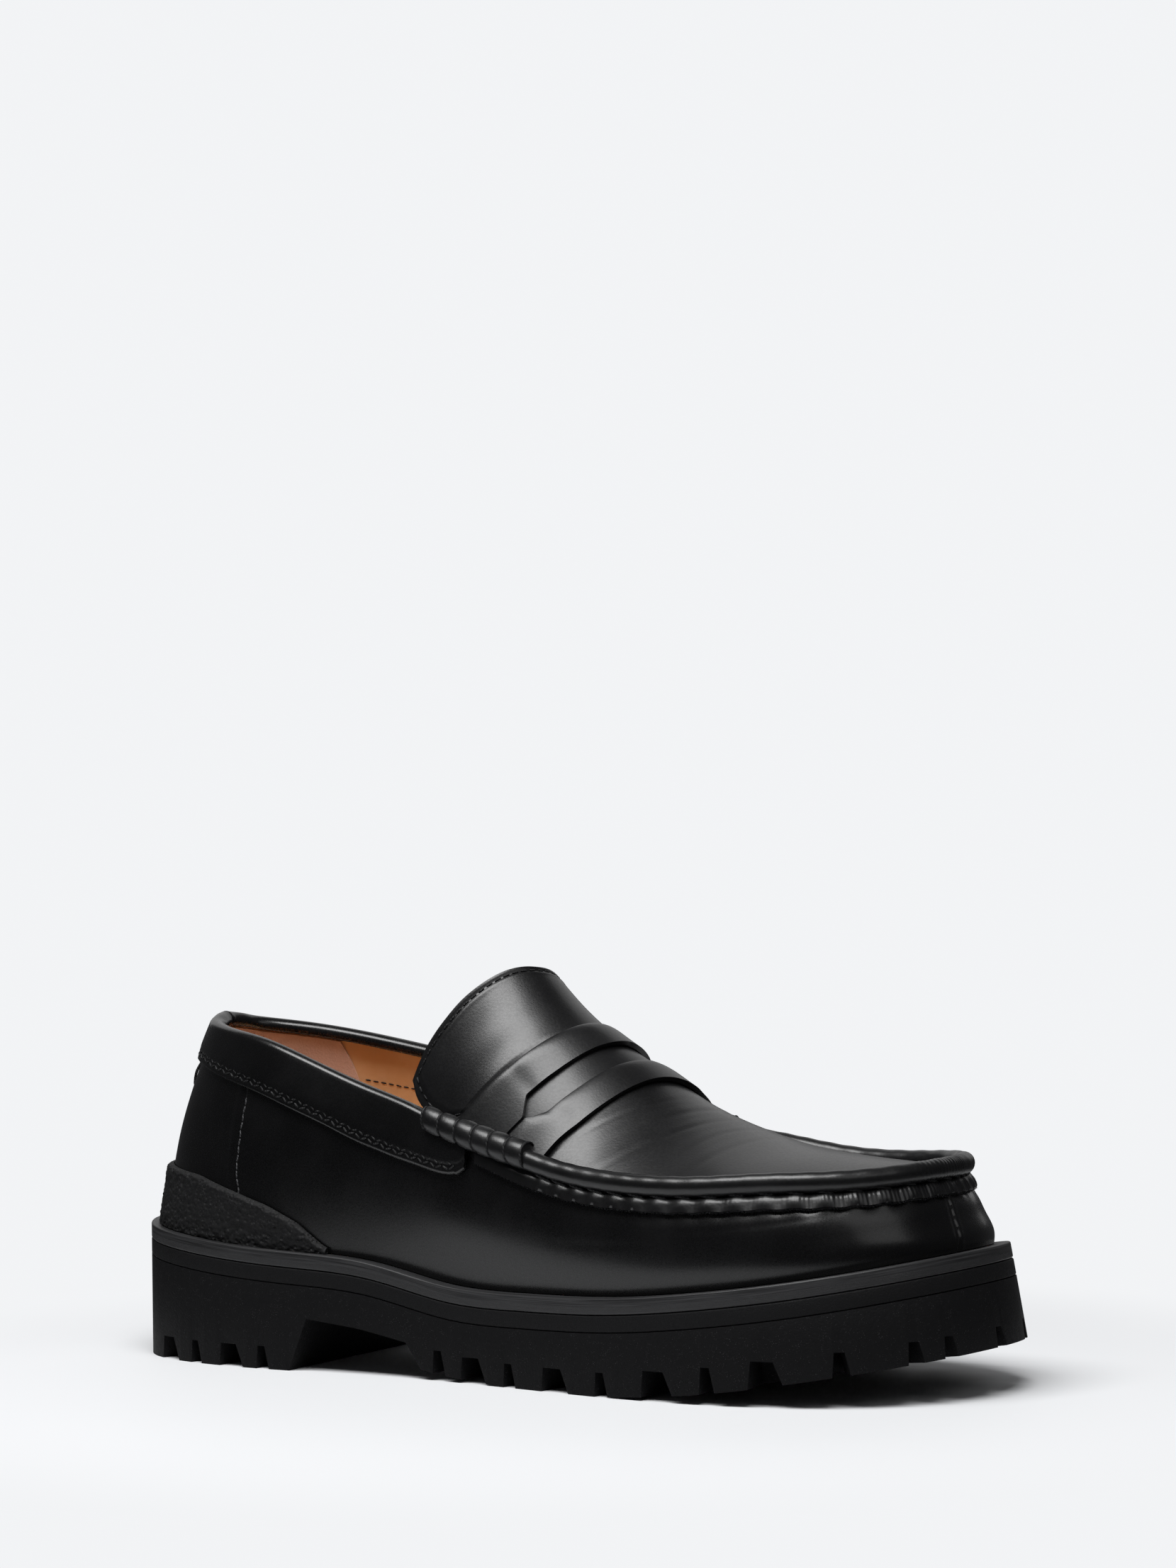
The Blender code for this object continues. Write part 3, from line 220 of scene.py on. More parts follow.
def between(x: np.ndarray, knots: np.ndarray, rows: np.ndarray) -> np.ndarray:
    """Rows of vectors read at places between their knots."""
    return np.stack([np.interp(x, knots, rows[:, k]) for k in range(rows.shape[1])], -1)


def meet(start: np.ndarray, way: np.ndarray, centre: np.ndarray, radius: float) -> np.ndarray:
    """Point where a line leaves a circle.

    Args:
        start: Point that the line starts from.
        way: Unit direction of the line.
        centre: Middle of the circle.
        radius: Its radius.

    Returns:
        The far crossing, or the nearest point of the line where it misses.
    """
    ray = start - centre
    b = ray @ way
    return start + way * (-b + math.sqrt(max(b * b - ray @ ray + radius * radius, 0.0)))


def linked(name: str, data: bpy.types.ID) -> bpy.types.Object:
    """Link a new object to the scene.

    Args:
        name: Name of the object.
        data: Its mesh, camera or light.

    Returns:
        The object.
    """
    made = bpy.data.objects.new(name, data)
    bpy.context.scene.collection.objects.link(made)
    return made


def outward(data: bpy.types.Mesh) -> None:
    """Turn the faces of a closed mesh outward.

    Args:
        data: The mesh.
    """
    bm = bmesh.new()
    bm.from_mesh(data)
    bmesh.ops.recalc_face_normals(bm, faces=bm.faces)
    if bm.calc_volume(signed=True) < 0:
        bmesh.ops.reverse_faces(bm, faces=bm.faces)
    bm.to_mesh(data)
    bm.free()


@dataclass
class Form:
    """Shape of the shoe as functions of a turn round the sole and a place across the top."""

    length: float = 306 * MM
    width: float = 112 * MM
    heel_stack: float = 44.8 * MM
    forefoot_stack: float = 29.1 * MM
    toe_spring: float = 15.4 * MM
    arch_height: float = 17 * MM
    ledge: float = 5 * MM
    gap: float = 0.3 * MM
    back_height: float = 66 * MM
    middle: float = 0.012
    blend: float = 0.13
    step: float = 2e-3

    def __post_init__(self) -> None:
        """Solve the splines of all tables."""
        points = np.array([(a, -b) for a, b, _ in OUTLINE] + [(a, b) for a, _, b in OUTLINE[-2:0:-1]]
                          + [(0.0, 0.0)])
        last = len(OUTLINE) - 1
        points[last, 1] = (OUTLINE[-1][2] - OUTLINE[-1][1]) / 2
        points = np.stack([(points[:, 0] - 0.5) * self.length, points[:, 1] * self.width / 2], -1)
        knots = np.concatenate([[0], np.cumsum(np.sqrt(np.diff(walked(points))))])
        self.edge, self.toe_at = Spline(knots / knots[-1], points, closed=True), knots[last] / knots[-1]
        self.stack = Spline([r[0] for r in STACK], table(STACK, 1, 2))
        walls = (WALL_LATERAL, WALL_MEDIAL)
        self.walls = [Spline([r[0] for r in w], table(w, 1, 2, 3, 4, 5)) for w in walls]
        self.levels = Spline(WALL_LEVELS, np.eye(len(WALL_LEVELS)))
        self.turns = Spline([r[0] for r in CROWN], table(CROWN, 1, 2))
        stations = [r[0] for r in CROWN] + [r[0] for r in TONGUE[1:]]
        crest = [self.place(*r[3:6]) for r in CROWN] + [self.place(*r[7:10]) for r in TONGUE[1:]]
        crest[0] = list(self.wall(np.array(0.5), 1.0))
        self.crest = Spline(stations, crest)
        self.arch = Spline(stations, [r[6] for r in CROWN] + [r[10] for r in TONGUE[1:]])
        edges = [self.place(*r[1:4]) + self.place(*r[4:7]) for r in TONGUE]
        self.tongue_edge = Spline([r[0] for r in TONGUE], edges)
        turns = np.linspace(0.18, 0.80, 220)
        ahead = self.wall(turns + self.step, 1.0) - self.wall(turns - self.step, 1.0)
        outs = unit(np.stack([ahead[:, 1], -ahead[:, 0], 0 * turns], -1))
        self.slopes = (turns, [self.seam_slope(float(u), out) for u, out in zip(turns, outs)])

    def place(self, along: float, across: float, up: float) -> list:
        """Point from per cents of the length and width and a share of the back height over the welt."""
        x = along / 100 * self.length
        return [x, across / 100 * self.width, float(self.welt_top(x)) + up * self.back_height]

    def outline(self, u: np.ndarray) -> tuple:
        """Point on the sole's edge and outward direction at a turn.

        Args:
            u: Turns, 0 at the heel and 0.5 at the toe.

        Returns:
            Points and unit directions in plan.
        """
        u = np.asarray(u, float) % 1.0
        s = np.where(u < 0.5, u * 2 * self.toe_at, self.toe_at + (u - 0.5) * 2 * (1 - self.toe_at))
        d = self.edge(s, 1)
        return self.edge(s), unit(np.stack([d[..., 1], -d[..., 0]], -1))

    def share(self, x: np.ndarray) -> np.ndarray:
        """Place along the sole, 0 at the heel and 1 at the toe."""
        return np.clip(np.asarray(x) / self.length + 0.5, 0, 1)

    def welt_top(self, x: np.ndarray) -> np.ndarray:
        """Height of the welt's upper face.

        Args:
            x: Places along, in metres.

        Returns:
            Heights in metres.
        """
        s = self.stack(np.asarray(x) / self.length + 0.5)
        lift = s[..., 0] * (self.heel_stack - self.forefoot_stack)
        return self.forefoot_stack + lift + s[..., 1] * self.toe_spring

    def tread(self, along: np.ndarray) -> np.ndarray:
        """Height of the tread's underside."""
        heights = [r[1] * self.arch_height + r[2] * self.toe_spring for r in TREAD]
        return np.interp(along, [r[0] for r in TREAD], heights)

    def below(self, x: np.ndarray, y: np.ndarray, depth: np.ndarray) -> np.ndarray:
        """Point at a depth under the welt's upper face, square to it in the forefoot.

        Args:
            x: Places along, in metres.
            y: Places across, in metres.
            depth: Depths in metres.

        Returns:
            Points.
        """
        x = np.asarray(x, float)
        slope = (self.welt_top(x + 1e-4) - self.welt_top(x - 1e-4)) / 2e-4
        lean = np.arctan(slope) * np.clip((self.share(x) - 0.60) / 0.08, 0, 1)
        return np.stack([x + depth * np.sin(lean), y + 0 * x, self.welt_top(x) - depth * np.cos(lean)], -1)

    def wall(self, u: np.ndarray, v: np.ndarray) -> np.ndarray:
        """Outside of the upper, with its middle at the heel laid straight so that it can't fold.

        Args:
            u: Turns.
            v: Heights, 0 on the welt and 1 at the top edge.

        Returns:
            Points.
        """
        u, v = np.broadcast_arrays(np.asarray(u, float), np.asarray(v, float))
        made, turn = self.bare_wall(u, v), (u + 0.5) % 1.0 - 0.5
        near = np.abs(turn) < self.middle
        if near.any():
            ends = [self.bare_wall(0 * turn[near] + side * self.middle, v[near])[..., 1] for side in (-1, 1)]
            made[near, 1] = ends[0] + (ends[1] - ends[0]) * (turn[near] / self.middle + 1) / 2
        return made

    def bare_wall(self, u: np.ndarray, v: np.ndarray) -> np.ndarray:
        """Wall as the tables give it.

        Args:
            u: Turns.
            v: Heights, 0 on the welt and 1 at the top edge.

        Returns:
            Points.
        """
        u = np.asarray(u, float) % 1.0
        v = np.asarray(v, float) * np.ones_like(u)
        u = u * np.ones_like(v)
        p, n = self.outline(u)
        along = self.share(p[..., 0])
        row = np.where((u < 0.5)[..., None], self.walls[0](along), self.walls[1](along))
        insets = [np.full(row[..., :1].shape, self.ledge), row[..., 1:] / 100 * self.width]
        inset = (self.levels(v) * np.concatenate(insets, -1)).sum(-1)
        base = self.welt_top(p[..., 0] - n[..., 0] * self.ledge) + self.gap
        x, y = p[..., 0] - n[..., 0] * inset, p[..., 1] - n[..., 1] * inset
        return np.stack([x, y, base + v * row[..., 0] * self.back_height], -1)

    def wall_normal(self, u: np.ndarray, v: np.ndarray) -> np.ndarray:
        """Outward direction of the upper's outside.

        Args:
            u: Turns.
            v: Heights.

        Returns:
            Unit vectors.
        """
        e = 1e-3
        v = np.asarray(v, float) * np.ones_like(np.asarray(u, float))
        du = self.wall(u + e, v) - self.wall(u - e, v)
        dv = self.wall(u, np.minimum(v + e, 1)) - self.wall(u, np.maximum(v - e, 0))
        return unit(np.cross(du, dv))

    def rise(self, u: np.ndarray) -> np.ndarray:
        """Direction up along the wall at its top edge."""
        return unit(self.wall(u, 1.0) - self.wall(u, 0.96))

    def wall_height(self, u: np.ndarray) -> np.ndarray:
        """Height of the wall."""
        return self.wall(u, 1.0)[..., 2] - self.wall(u, 0.0)[..., 2]

    def crown(self, w: np.ndarray, t: np.ndarray) -> np.ndarray:
        """Top of the foot.

        Args:
            w: Places across, -1 lateral to 1 medial.
            t: Stations, 0 at the toe and 1 at the tongue's top.

        Returns:
            Points.
        """
        w = np.asarray(w, float)
        t = np.asarray(t, float) * np.ones_like(w)
        w = w * np.ones_like(t)
        last = CROWN[-1][0]
        turn = self.turns(np.minimum(t, last))
        near, far = self.wall(turn[..., 0], 1.0), self.wall(1 - turn[..., 1], 1.0)
        edge = self.tongue_edge(np.maximum(t, last))
        mix = np.clip((t - last + self.blend) / self.blend, 0, 1)[..., None]
        mix = mix * mix * (3 - 2 * mix)
        near, far = near * (1 - mix) + edge[..., 0:3] * mix, far * (1 - mix) + edge[..., 3:6] * mix
        angle = np.radians(self.arch(t))
        across = np.sin(w * angle) / np.sin(angle)
        up = (np.cos(w * angle) - np.cos(angle)) / (1 - np.cos(angle))
        middle, half = (near + far) / 2, (far - near) / 2
        return middle + half * across[..., None] + (self.crest(t) - middle) * up[..., None]

    def crown_normal(self, w: np.ndarray, t: np.ndarray) -> np.ndarray:
        """Direction square to the crown, looking up.

        Args:
            w: Places across.
            t: Stations.

        Returns:
            Unit vectors.
        """
        e = 2e-3
        t = np.asarray(t, float) * np.ones_like(np.asarray(w, float))
        across = self.crown(w + e, t) - self.crown(w - e, t)
        along = self.crown(w, t - e) - self.crown(w, t + e)
        return unit(np.cross(along, across))

    def seam_slope(self, u: float, out: np.ndarray) -> float:
        """Rise of the crown beside the seam, as an angle.

        Args:
            u: Turn.
            out: Outward direction there.

        Returns:
            Angle in radians.
        """
        turn, angles = min(u % 1.0, 1 - u % 1.0), []
        stations = np.linspace(0, CROWN[-1][0], 400)
        for side, sign in ((0, -0.96), (1, 0.96)):
            turns = np.minimum.accumulate(self.turns(stations)[:, side])
            t = min(max(float(np.interp(-turn, -turns, stations)), 0.05), 0.77)
            n = self.crown_normal(np.array(sign), t)
            way = out if abs(u - 0.5) > 0.03 else unit(np.array([out[0], -abs(out[1]) * -sign, 0]))
            angles.append(math.atan2(float(way @ n), float(n[2])))
        mix = min(max((u % 1.0 - 0.47) / 0.06, 0.0), 1.0)
        return angles[0] * (1 - mix) + angles[1] * mix

    def seam_frame(self, u: float) -> tuple:
        """Frame of the seam at a turn.

        Args:
            u: Turn.

        Returns:
            Corner and outward direction, then unit lines down the wall and over the crown in the plane of both.
        """
        corner = self.wall(np.array(u), 1.0)
        ahead = self.wall(np.array(u + self.step), 1.0) - self.wall(np.array(u - self.step), 1.0)
        out = unit(np.array([ahead[1], -ahead[0], 0.0]))
        rise = self.rise(np.array(u))
        slope = float(np.interp(u % 1.0, *self.slopes))
        return corner, out, unit(np.array([rise @ out, rise[2]])), np.array([-math.cos(slope), math.sin(slope)])

    def turn_at(self, along: float, side: Side = Side.LATERAL) -> float:
        """Turn of a place along the sole, counted from the heel on its own side.

        Args:
            along: Place, 0 at the heel and 1 at the toe.
            side: Side of the shoe.

        Returns:
            The turn, up to 0.5.
        """
        u = np.linspace(0, 0.5, 2001)
        p, _ = self.outline(side.round(u))
        return float(np.interp(along, np.maximum.accumulate(self.share(p[:, 0])), u))


class Value:
    """Number socket of a material that can be used in sums."""

    def __init__(self, graph: "Graph", socket: bpy.types.NodeSocket) -> None:
        """Wrap a socket."""
        self.graph, self.socket = graph, socket

    def maths(self, operation: str, *others: object) -> "Value":
        """Result of a Math node on this value and others."""
        ins = {k: other for k, other in enumerate((self,) + others)}
        return self.graph.node("ShaderNodeMath", {"operation": operation}, ins)

    def __add__(self, other: object) -> "Value":
        """Sum."""
        return self.maths("ADD", other)

    def __sub__(self, other: object) -> "Value":
        """Difference."""
        return self.maths("SUBTRACT", other)

    def __mul__(self, other: object) -> "Value":
        """Product."""
        return self.maths("MULTIPLY", other)

    def __rsub__(self, other: float) -> "Value":
        """Difference from a number."""
        return self.graph.node("ShaderNodeMath", {"operation": "SUBTRACT"}, {0: other, 1: self})

    def __pow__(self, other: object) -> "Value":
        """Power."""
        return self.maths("POWER", other)

    __radd__ = __add__
    __rmul__ = __mul__

    def band(self, low: float, high: float) -> "Value":
        """Smooth step from 0 at low to 1 at high."""
        return self.graph.node("ShaderNodeMapRange", {"interpolation_type": "SMOOTHSTEP"},
                               {"Value": self, "From Min": low, "From Max": high})


class Graph:
    """Node tree of a material or of a Geometry Nodes group."""

    def __init__(self, tree: bpy.types.NodeTree) -> None:
        """Start on a tree."""
        self.tree = tree

    def node(self, kind: str, settings: dict | None = None, ins: dict | None = None, out: object = 0) -> Value:
        """Add a node.

        Args:
            kind: Type of the node.
            settings: Properties that are set first.
            ins: Values or links of its sockets, by name or number.
            out: Name or number of the output that is returned.

        Returns:
            The output as a value.
        """
        made = self.tree.nodes.new(kind)
        for key, value in (settings or {}).items():
            setattr(made, key, value)
        for key, value in (ins or {}).items():
            socket = made.inputs[key]
            if isinstance(value, Value):
                self.tree.links.new(value.socket, socket)
            else:
                socket.default_value = value
        return Value(self, made.outputs[out]) if len(made.outputs) else Value(self, None)

    def mix(self, factor: object, first: tuple, second: object) -> Value:
        """Mix of two colours.

        Args:
            factor: Share of the second.
            first: Colour or value.
            second: Colour or value.

        Returns:
            The mixed colour.
        """
        ins = {0: factor, 6: first if isinstance(first, Value) else (*first, 1.0),
               7: second if isinstance(second, Value) else (*second, 1.0)}
        return self.node("ShaderNodeMix", {"data_type": "RGBA"}, ins, 2)

    def spot(self, kind: str, scale: float, settings: dict | None = None, **ins: float) -> Value:
        """Noise or Voronoi on Object coordinates.

        Args:
            kind: Type of the texture node.
            scale: Cells per metre.
            settings: Properties that are set first.
            **ins: Other sockets, with _ for a space.

        Returns:
            The value.
        """
        where = self.node("ShaderNodeTexCoord", None, None, "Object")
        names = {"Vector": where, "Scale": scale} | {k.replace("_", " "): v for k, v in ins.items()}
        return self.node(kind, settings, names, "Distance" if "Voronoi" in kind else 0)

    def streak(self, along: float, across: float) -> Value:
        """Noise drawn out along the piece's own UV map.

        Args:
            along: Scale along, per metre.
            across: Scale across, per metre.

        Returns:
            The value.
        """
        where = self.node("ShaderNodeUVMap", {"uv_map": "run"}, None)
        drawn = self.node("ShaderNodeMapping", None, {"Vector": where, "Scale": (along, across, 1.0)})
        return self.node("ShaderNodeTexNoise", None, {"Vector": drawn, "Scale": 1.0, "Detail": 3.0})

    def relief(self, height: Value, depth: float, strength: float = 1.0) -> Value:
        """Bump normal of a height."""
        return self.node("ShaderNodeBump", None, {"Strength": strength, "Distance": depth, "Height": height})


@dataclass(frozen=True)
class Finish:
    """One finish: a base colour that varies, a gloss that varies and a relief."""

    name: str
    colour: tuple
    spread: tuple
    rough: tuple = (0.3, 0.45)
    coat: float = 0.0
    sheen: float = 0.0
    shine: float = 0.5

    def paint(self, graph: Graph) -> tuple:
        """Plain clouds and a fine grain.

        Args:
            graph: Tree that takes the nodes.

        Returns:
            Mask of the colour, mask of the gloss and the normal.
        """
        mask = graph.spot("ShaderNodeTexNoise", 60.0, Detail=4.0)
        return mask, mask, graph.relief(graph.spot("ShaderNodeTexNoise", 900.0), 0.1 * MM)

    def build(self) -> bpy.types.Material:
        """Make the material.

        Returns:
            The material.
        """
        made = bpy.data.materials.new(self.name)
        made.use_nodes = True
        made.node_tree.nodes.clear()
        graph = Graph(made.node_tree)
        mask, gloss, normal = self.paint(graph)
        low, high = self.rough
        ins = {"Base Color": graph.mix(mask, self.colour, self.spread), "Normal": normal,
               "Roughness": gloss * (high - low) + low, "Coat Weight": self.coat, "Coat Roughness": 0.16,
               "Sheen Weight": self.sheen, "Sheen Roughness": 0.5, "Specular IOR Level": self.shine}
        shader = graph.node("ShaderNodeBsdfPrincipled", None, ins)
        graph.node("ShaderNodeOutputMaterial", None, {"Surface": shader})
        return made


@dataclass(frozen=True)
class BoxLeather(Finish):
    """Polished leather with a fine grain and soft wrinkles."""

    grain: float = 0.025 * MM
    wrinkle: float = 0.05 * MM

    def paint(self, graph: Graph) -> tuple:
        """Cells of the grain over long soft wrinkles.

        Args:
            graph: Tree that takes the nodes.

        Returns:
            Mask of the colour, mask of the gloss and the normal.
        """
        cells = graph.spot("ShaderNodeTexVoronoi", 1300.0, {"feature": "SMOOTH_F1"}, Smoothness=0.6)
        folds = graph.spot("ShaderNodeTexNoise", 140.0, {"noise_type": "RIDGED_MULTIFRACTAL"}, Detail=3.0)
        cloud = graph.spot("ShaderNodeTexNoise", 55.0, Detail=5.0)
        first = graph.relief(folds, self.wrinkle, 0.35)
        tree = graph.node("ShaderNodeBump", None, {"Strength": 0.5, "Distance": self.grain, "Height": cells,
                                                   "Normal": first})
        return cloud.band(0.35, 0.75), cloud * 0.6 + cells * 0.5, tree


@dataclass(frozen=True)
class BrushedEdge(Finish):
    """Edge with long brushed streaks."""

    def paint(self, graph: Graph) -> tuple:
        """Streaks along the edge.

        Args:
            graph: Tree that takes the nodes.

        Returns:
            Mask of the colour, mask of the gloss and the normal.
        """
        fine, wide = graph.streak(45.0, 3800.0), graph.streak(12.0, 900.0)
        both = fine * 0.6 + wide * 0.4
        return both.band(0.38, 0.64), fine, graph.relief(both, 0.12 * MM, 0.8)


@dataclass(frozen=True)
class Grained(Finish):
    """Matte rubber or foam with pits and light specks."""

    size: float = 900.0
    depth: float = 0.2 * MM
    specks: float = 0.10

    def paint(self, graph: Graph) -> tuple:
        """Pits, grains and specks.

        Args:
            graph: Tree that takes the nodes.

        Returns:
            Mask of the colour, mask of the gloss and the normal.
        """
        pits = graph.spot("ShaderNodeTexVoronoi", self.size)
        dust = graph.spot("ShaderNodeTexVoronoi", self.size * 1.9)
        lumps = graph.spot("ShaderNodeTexNoise", self.size * 0.45, Detail=4.0)
        height = pits.band(0.05, 0.55) * 0.6 + lumps * 0.7
        speck = (1 - dust.band(self.specks, self.specks + 0.08)) * lumps.band(0.45, 0.62)
        return speck, lumps, graph.relief(height, self.depth, 0.9)


@dataclass(frozen=True)
class Napped(Finish):
    """Suede or raw leather edge with a short nap."""

    def paint(self, graph: Graph) -> tuple:
        """Soft clouds and a fine nap.

        Args:
            graph: Tree that takes the nodes.

        Returns:
            Mask of the colour, mask of the gloss and the normal.
        """
        nap, cloud = graph.spot("ShaderNodeTexNoise", 1500.0, Detail=3.0), graph.spot("ShaderNodeTexNoise", 90.0)
        return cloud * 0.6 + nap * 0.5, nap, graph.relief(nap, 0.30 * MM, 0.9)


@dataclass(frozen=True)
class Twisted(Finish):
    """Waxed thread with the twist of its strands."""

    def paint(self, graph: Graph) -> tuple:
        """Slanted bands of the strands.

        Args:
            graph: Tree that takes the nodes.

        Returns:
            Mask of the colour, mask of the gloss and the normal.
        """
        where = graph.node("ShaderNodeTexCoord", None, None, "Object")
        turned = graph.node("ShaderNodeMapping", None, {"Vector": where, "Rotation": (0.3, 0.6, 0.5)})
        strand = graph.node("ShaderNodeTexWave", None, {"Vector": turned, "Scale": 420.0, "Distortion": 2.0})
        return strand, strand, graph.relief(strand, 0.12 * MM, 0.8)


class Finishes:
    """All finishes of the shoe."""

    def __init__(self) -> None:
        """Build every material once."""
        self.leather = BoxLeather("box_leather", (0.0022, 0.0022, 0.0024), (0.0042, 0.0042, 0.0045),
                                  (0.20, 0.34), 0.20, shine=0.42, grain=0.02 * MM, wrinkle=0.03 * MM).build()
        self.soft = BoxLeather("soft_leather", (0.003, 0.003, 0.0033), (0.006, 0.006, 0.0065), (0.27, 0.42), 0.10,
                               grain=0.035 * MM, wrinkle=0.05 * MM).build()
        self.lining = BoxLeather("lining_leather", (0.70, 0.40, 0.19), (0.84, 0.54, 0.30), (0.45, 0.6)).build()
        self.suede = Napped("heel_grip_suede", (0.55, 0.33, 0.25), (0.84, 0.58, 0.47), (0.85, 0.95), 0.0, 0.3).build()
        self.raw = Napped("raw_edge", (0.008, 0.008, 0.009), (0.035, 0.035, 0.038), (0.75, 0.95)).build()
        self.welt = BrushedEdge("brushed_welt", (0.010, 0.010, 0.0105), (0.042, 0.042, 0.044), (0.36, 0.52),
                                shine=0.35).build()
        self.midsole = Grained("midsole_grain", (0.005, 0.005, 0.0055), (0.03, 0.03, 0.032), (0.55, 0.8),
                               shine=0.16, size=1500.0, depth=0.12 * MM, specks=0.12).build()
        self.rubber = Grained("tread_rubber", (0.0045, 0.0045, 0.005), (0.05, 0.05, 0.052), (0.55, 0.78),
                              shine=0.12, size=1100.0, depth=0.10 * MM, specks=0.14).build()
        self.crepe = Grained("pitted_crepe", (0.006, 0.006, 0.0065), (0.045, 0.045, 0.047), (0.60, 0.85),
                             shine=0.28, size=620.0, depth=0.60 * MM, specks=0.16).build()
        self.thread = Twisted("waxed_thread", (0.004, 0.004, 0.0045), (0.016, 0.016, 0.017), (0.5, 0.7),
                              shine=0.3).build()
        self.grey_thread = Twisted("grey_thread", (0.02, 0.02, 0.022), (0.09, 0.09, 0.095), (0.5, 0.7)).build()


class Maker:
    """Meshes shared by every part of the shoe."""

    def __init__(self, form: Form, finishes: Finishes) -> None:
        """Keep the shape and the finishes."""
        self.form, self.finishes = form, finishes

    def mesh(self, name: str, points: np.ndarray, faces: list, finish: bpy.types.Material,
             slot: str = "leather_black", runs: np.ndarray | None = None, sharp: float = 42.0) -> bpy.types.Object:
        """Closed piece in its place in the frame.

        Args:
            name: Name of the piece.
            points: Corners in the shape's own place, in metres.
            faces: Rings of corner numbers.
            finish: Material.
            slot: Not used.
            runs: Place of each corner along and across, in metres, for the UV map.
            sharp: Angle in degrees from which an edge is drawn sharp.

        Returns:
            The piece, which rides on the root body.
        """
        data = bpy.data.meshes.new(name)
        data.from_pydata((np.asarray(points, float) + SHIFT).tolist(), [], faces)
        piece = linked(name, data)
        outward(data)
        if runs is not None:
            corner = np.zeros(len(data.loops), int)
            data.loops.foreach_get("vertex_index", corner)
            flat = runs[corner]
            first = np.repeat([p.loop_start for p in data.polygons], [p.loop_total for p in data.polygons])
            wide = runs[:, 0].max() - runs[:, 0].min()
            flat[:, 0] += wide * np.round((flat[first, 0] - flat[:, 0]) / max(wide, 1e-9))
            data.uv_layers.new(name="run").data.foreach_set("uv", flat.reshape(-1))
        data.materials.append(finish)
        data.shade_smooth()
        data.set_sharp_from_angle(angle=math.radians(sharp))
        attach(piece, "root")
        LOG.info("%s: %d faces", name, len(data.polygons))
        return piece

    def loft(self, name: str, sections: np.ndarray, finish: bpy.types.Material, closed: bool = False,
             **options: object) -> bpy.types.Object:
        """Solid through closed sections with the same number of points.

        Args:
            name: Name of the piece.
            sections: Points of each section.
            finish: Material.
            closed: Whether the last section joins the first.
            **options: Passed to mesh.

        Returns:
            The piece.
        """
        sections = np.asarray(sections, float)
        runs, count = sections.shape[:2]
        ids = np.arange(runs * count).reshape(runs, count)
        ahead = np.roll(ids, -1, 0) if closed else ids[1:]
        here = ids if closed else ids[:-1]
        side = [np.roll(a, -1, 1) for a in (here, ahead)]
        faces = np.stack([here, ahead, side[1], side[0]], -1).reshape(-1, 4).tolist()
        if not closed:
            faces += [ids[0].tolist(), ids[-1][::-1].tolist()]
        place = np.broadcast_arrays(walked(sections[:, 0])[:, None], walked(sections[0])[None])
        uv = np.stack(place, -1).reshape(-1, 2)
        return self.mesh(name, sections.reshape(-1, 3), faces, finish, runs=uv, **options)

    def shell(self, name: str, grid: np.ndarray, low: object, high: object, finish: bpy.types.Material,
              closed: bool = False, hole: np.ndarray | None = None, round_by: float = 0.35 * MM,
              **options: object) -> bpy.types.Object:
        """Closed layer between two offsets of a grid of points, with rounded rims.

        Args:
            name: Name of the piece.
            grid: Points in rows and columns.
            low: Inner offset, a number or one for each point.
            high: Outer offset, a number or one for each point.
            finish: Material.
            closed: Whether the last row joins the first.
            hole: Which quads are left out, true for a hole.
            round_by: Radius of the rims.
            **options: Passed to mesh.

        Returns:
            The piece.
        """
        rows, columns = grid.shape[:2]
        du = np.gradient(grid, axis=0) if not closed else np.roll(grid, -1, 0) - np.roll(grid, 1, 0)
        normal = unit(np.cross(du, np.gradient(grid, axis=1)))
        low = np.broadcast_to(np.asarray(low, float), (rows, columns))[..., None]
        high = np.broadcast_to(np.asarray(high, float), (rows, columns))[..., None]
        ids = np.arange(rows * columns).reshape(rows, columns)
        ring = np.roll(ids, -1, 0) if closed else ids[1:]
        here = ids if closed else ids[:-1]
        quads = np.stack([here[:, :-1], ring[:, :-1], ring[:, 1:], here[:, 1:]], -1)
        quads = quads[~hole] if hole is not None else quads.reshape(-1, 4)
        points = np.concatenate([(grid + normal * high).reshape(-1, 3), (grid + normal * low).reshape(-1, 3)])
        count = rows * columns
        faces = quads.tolist() + (quads[:, ::-1] + count).tolist()
        pairs = np.concatenate([quads[:, [k, (k + 1) % 4]] for k in range(4)])
        known = set(map(tuple, pairs.tolist()))
        faces += [[b, a, a + count, b + count] for a, b in sorted(known) if (b, a) not in known]
        used = np.unique(np.concatenate([quads.reshape(-1), quads.reshape(-1) + count]))
        renumber = np.zeros(2 * count, int)
        renumber[used] = np.arange(len(used))
        faces = [[int(renumber[k]) for k in f] for f in faces]
        piece = self.mesh(name, points[used], faces, finish, **options)
        if round_by:
            bevel = piece.modifiers.new("rim", "BEVEL")
            bevel.width, bevel.segments, bevel.limit_method = round_by, 2, "ANGLE"
            bevel.angle_limit = math.radians(55)
            settle(piece)
        return piece


def settle(piece: bpy.types.Object) -> None:
    """Replace a piece's mesh by what its modifiers make of it.

    Args:
        piece: The piece.
    """
    graph = bpy.context.evaluated_depsgraph_get()
    made = bpy.data.meshes.new_from_object(piece.evaluated_get(graph))
    piece.modifiers.clear()
    piece.data = made


def eased(x: np.ndarray, rows: tuple, width: float, key: int = 1) -> np.ndarray:
    """Table read at a place and softened over a width.

    Args:
        x: Places.
        rows: Table with the places first.
        width: Width that is softened.
        key: Column that is read.

    Returns:
        Values.
    """
    knots, values = [r[0] for r in rows], [r[key] for r in rows]
    steps = np.linspace(-1, 1, 9) * width
    return np.mean([np.interp(np.asarray(x) + s, knots, values) for s in steps], axis=0)


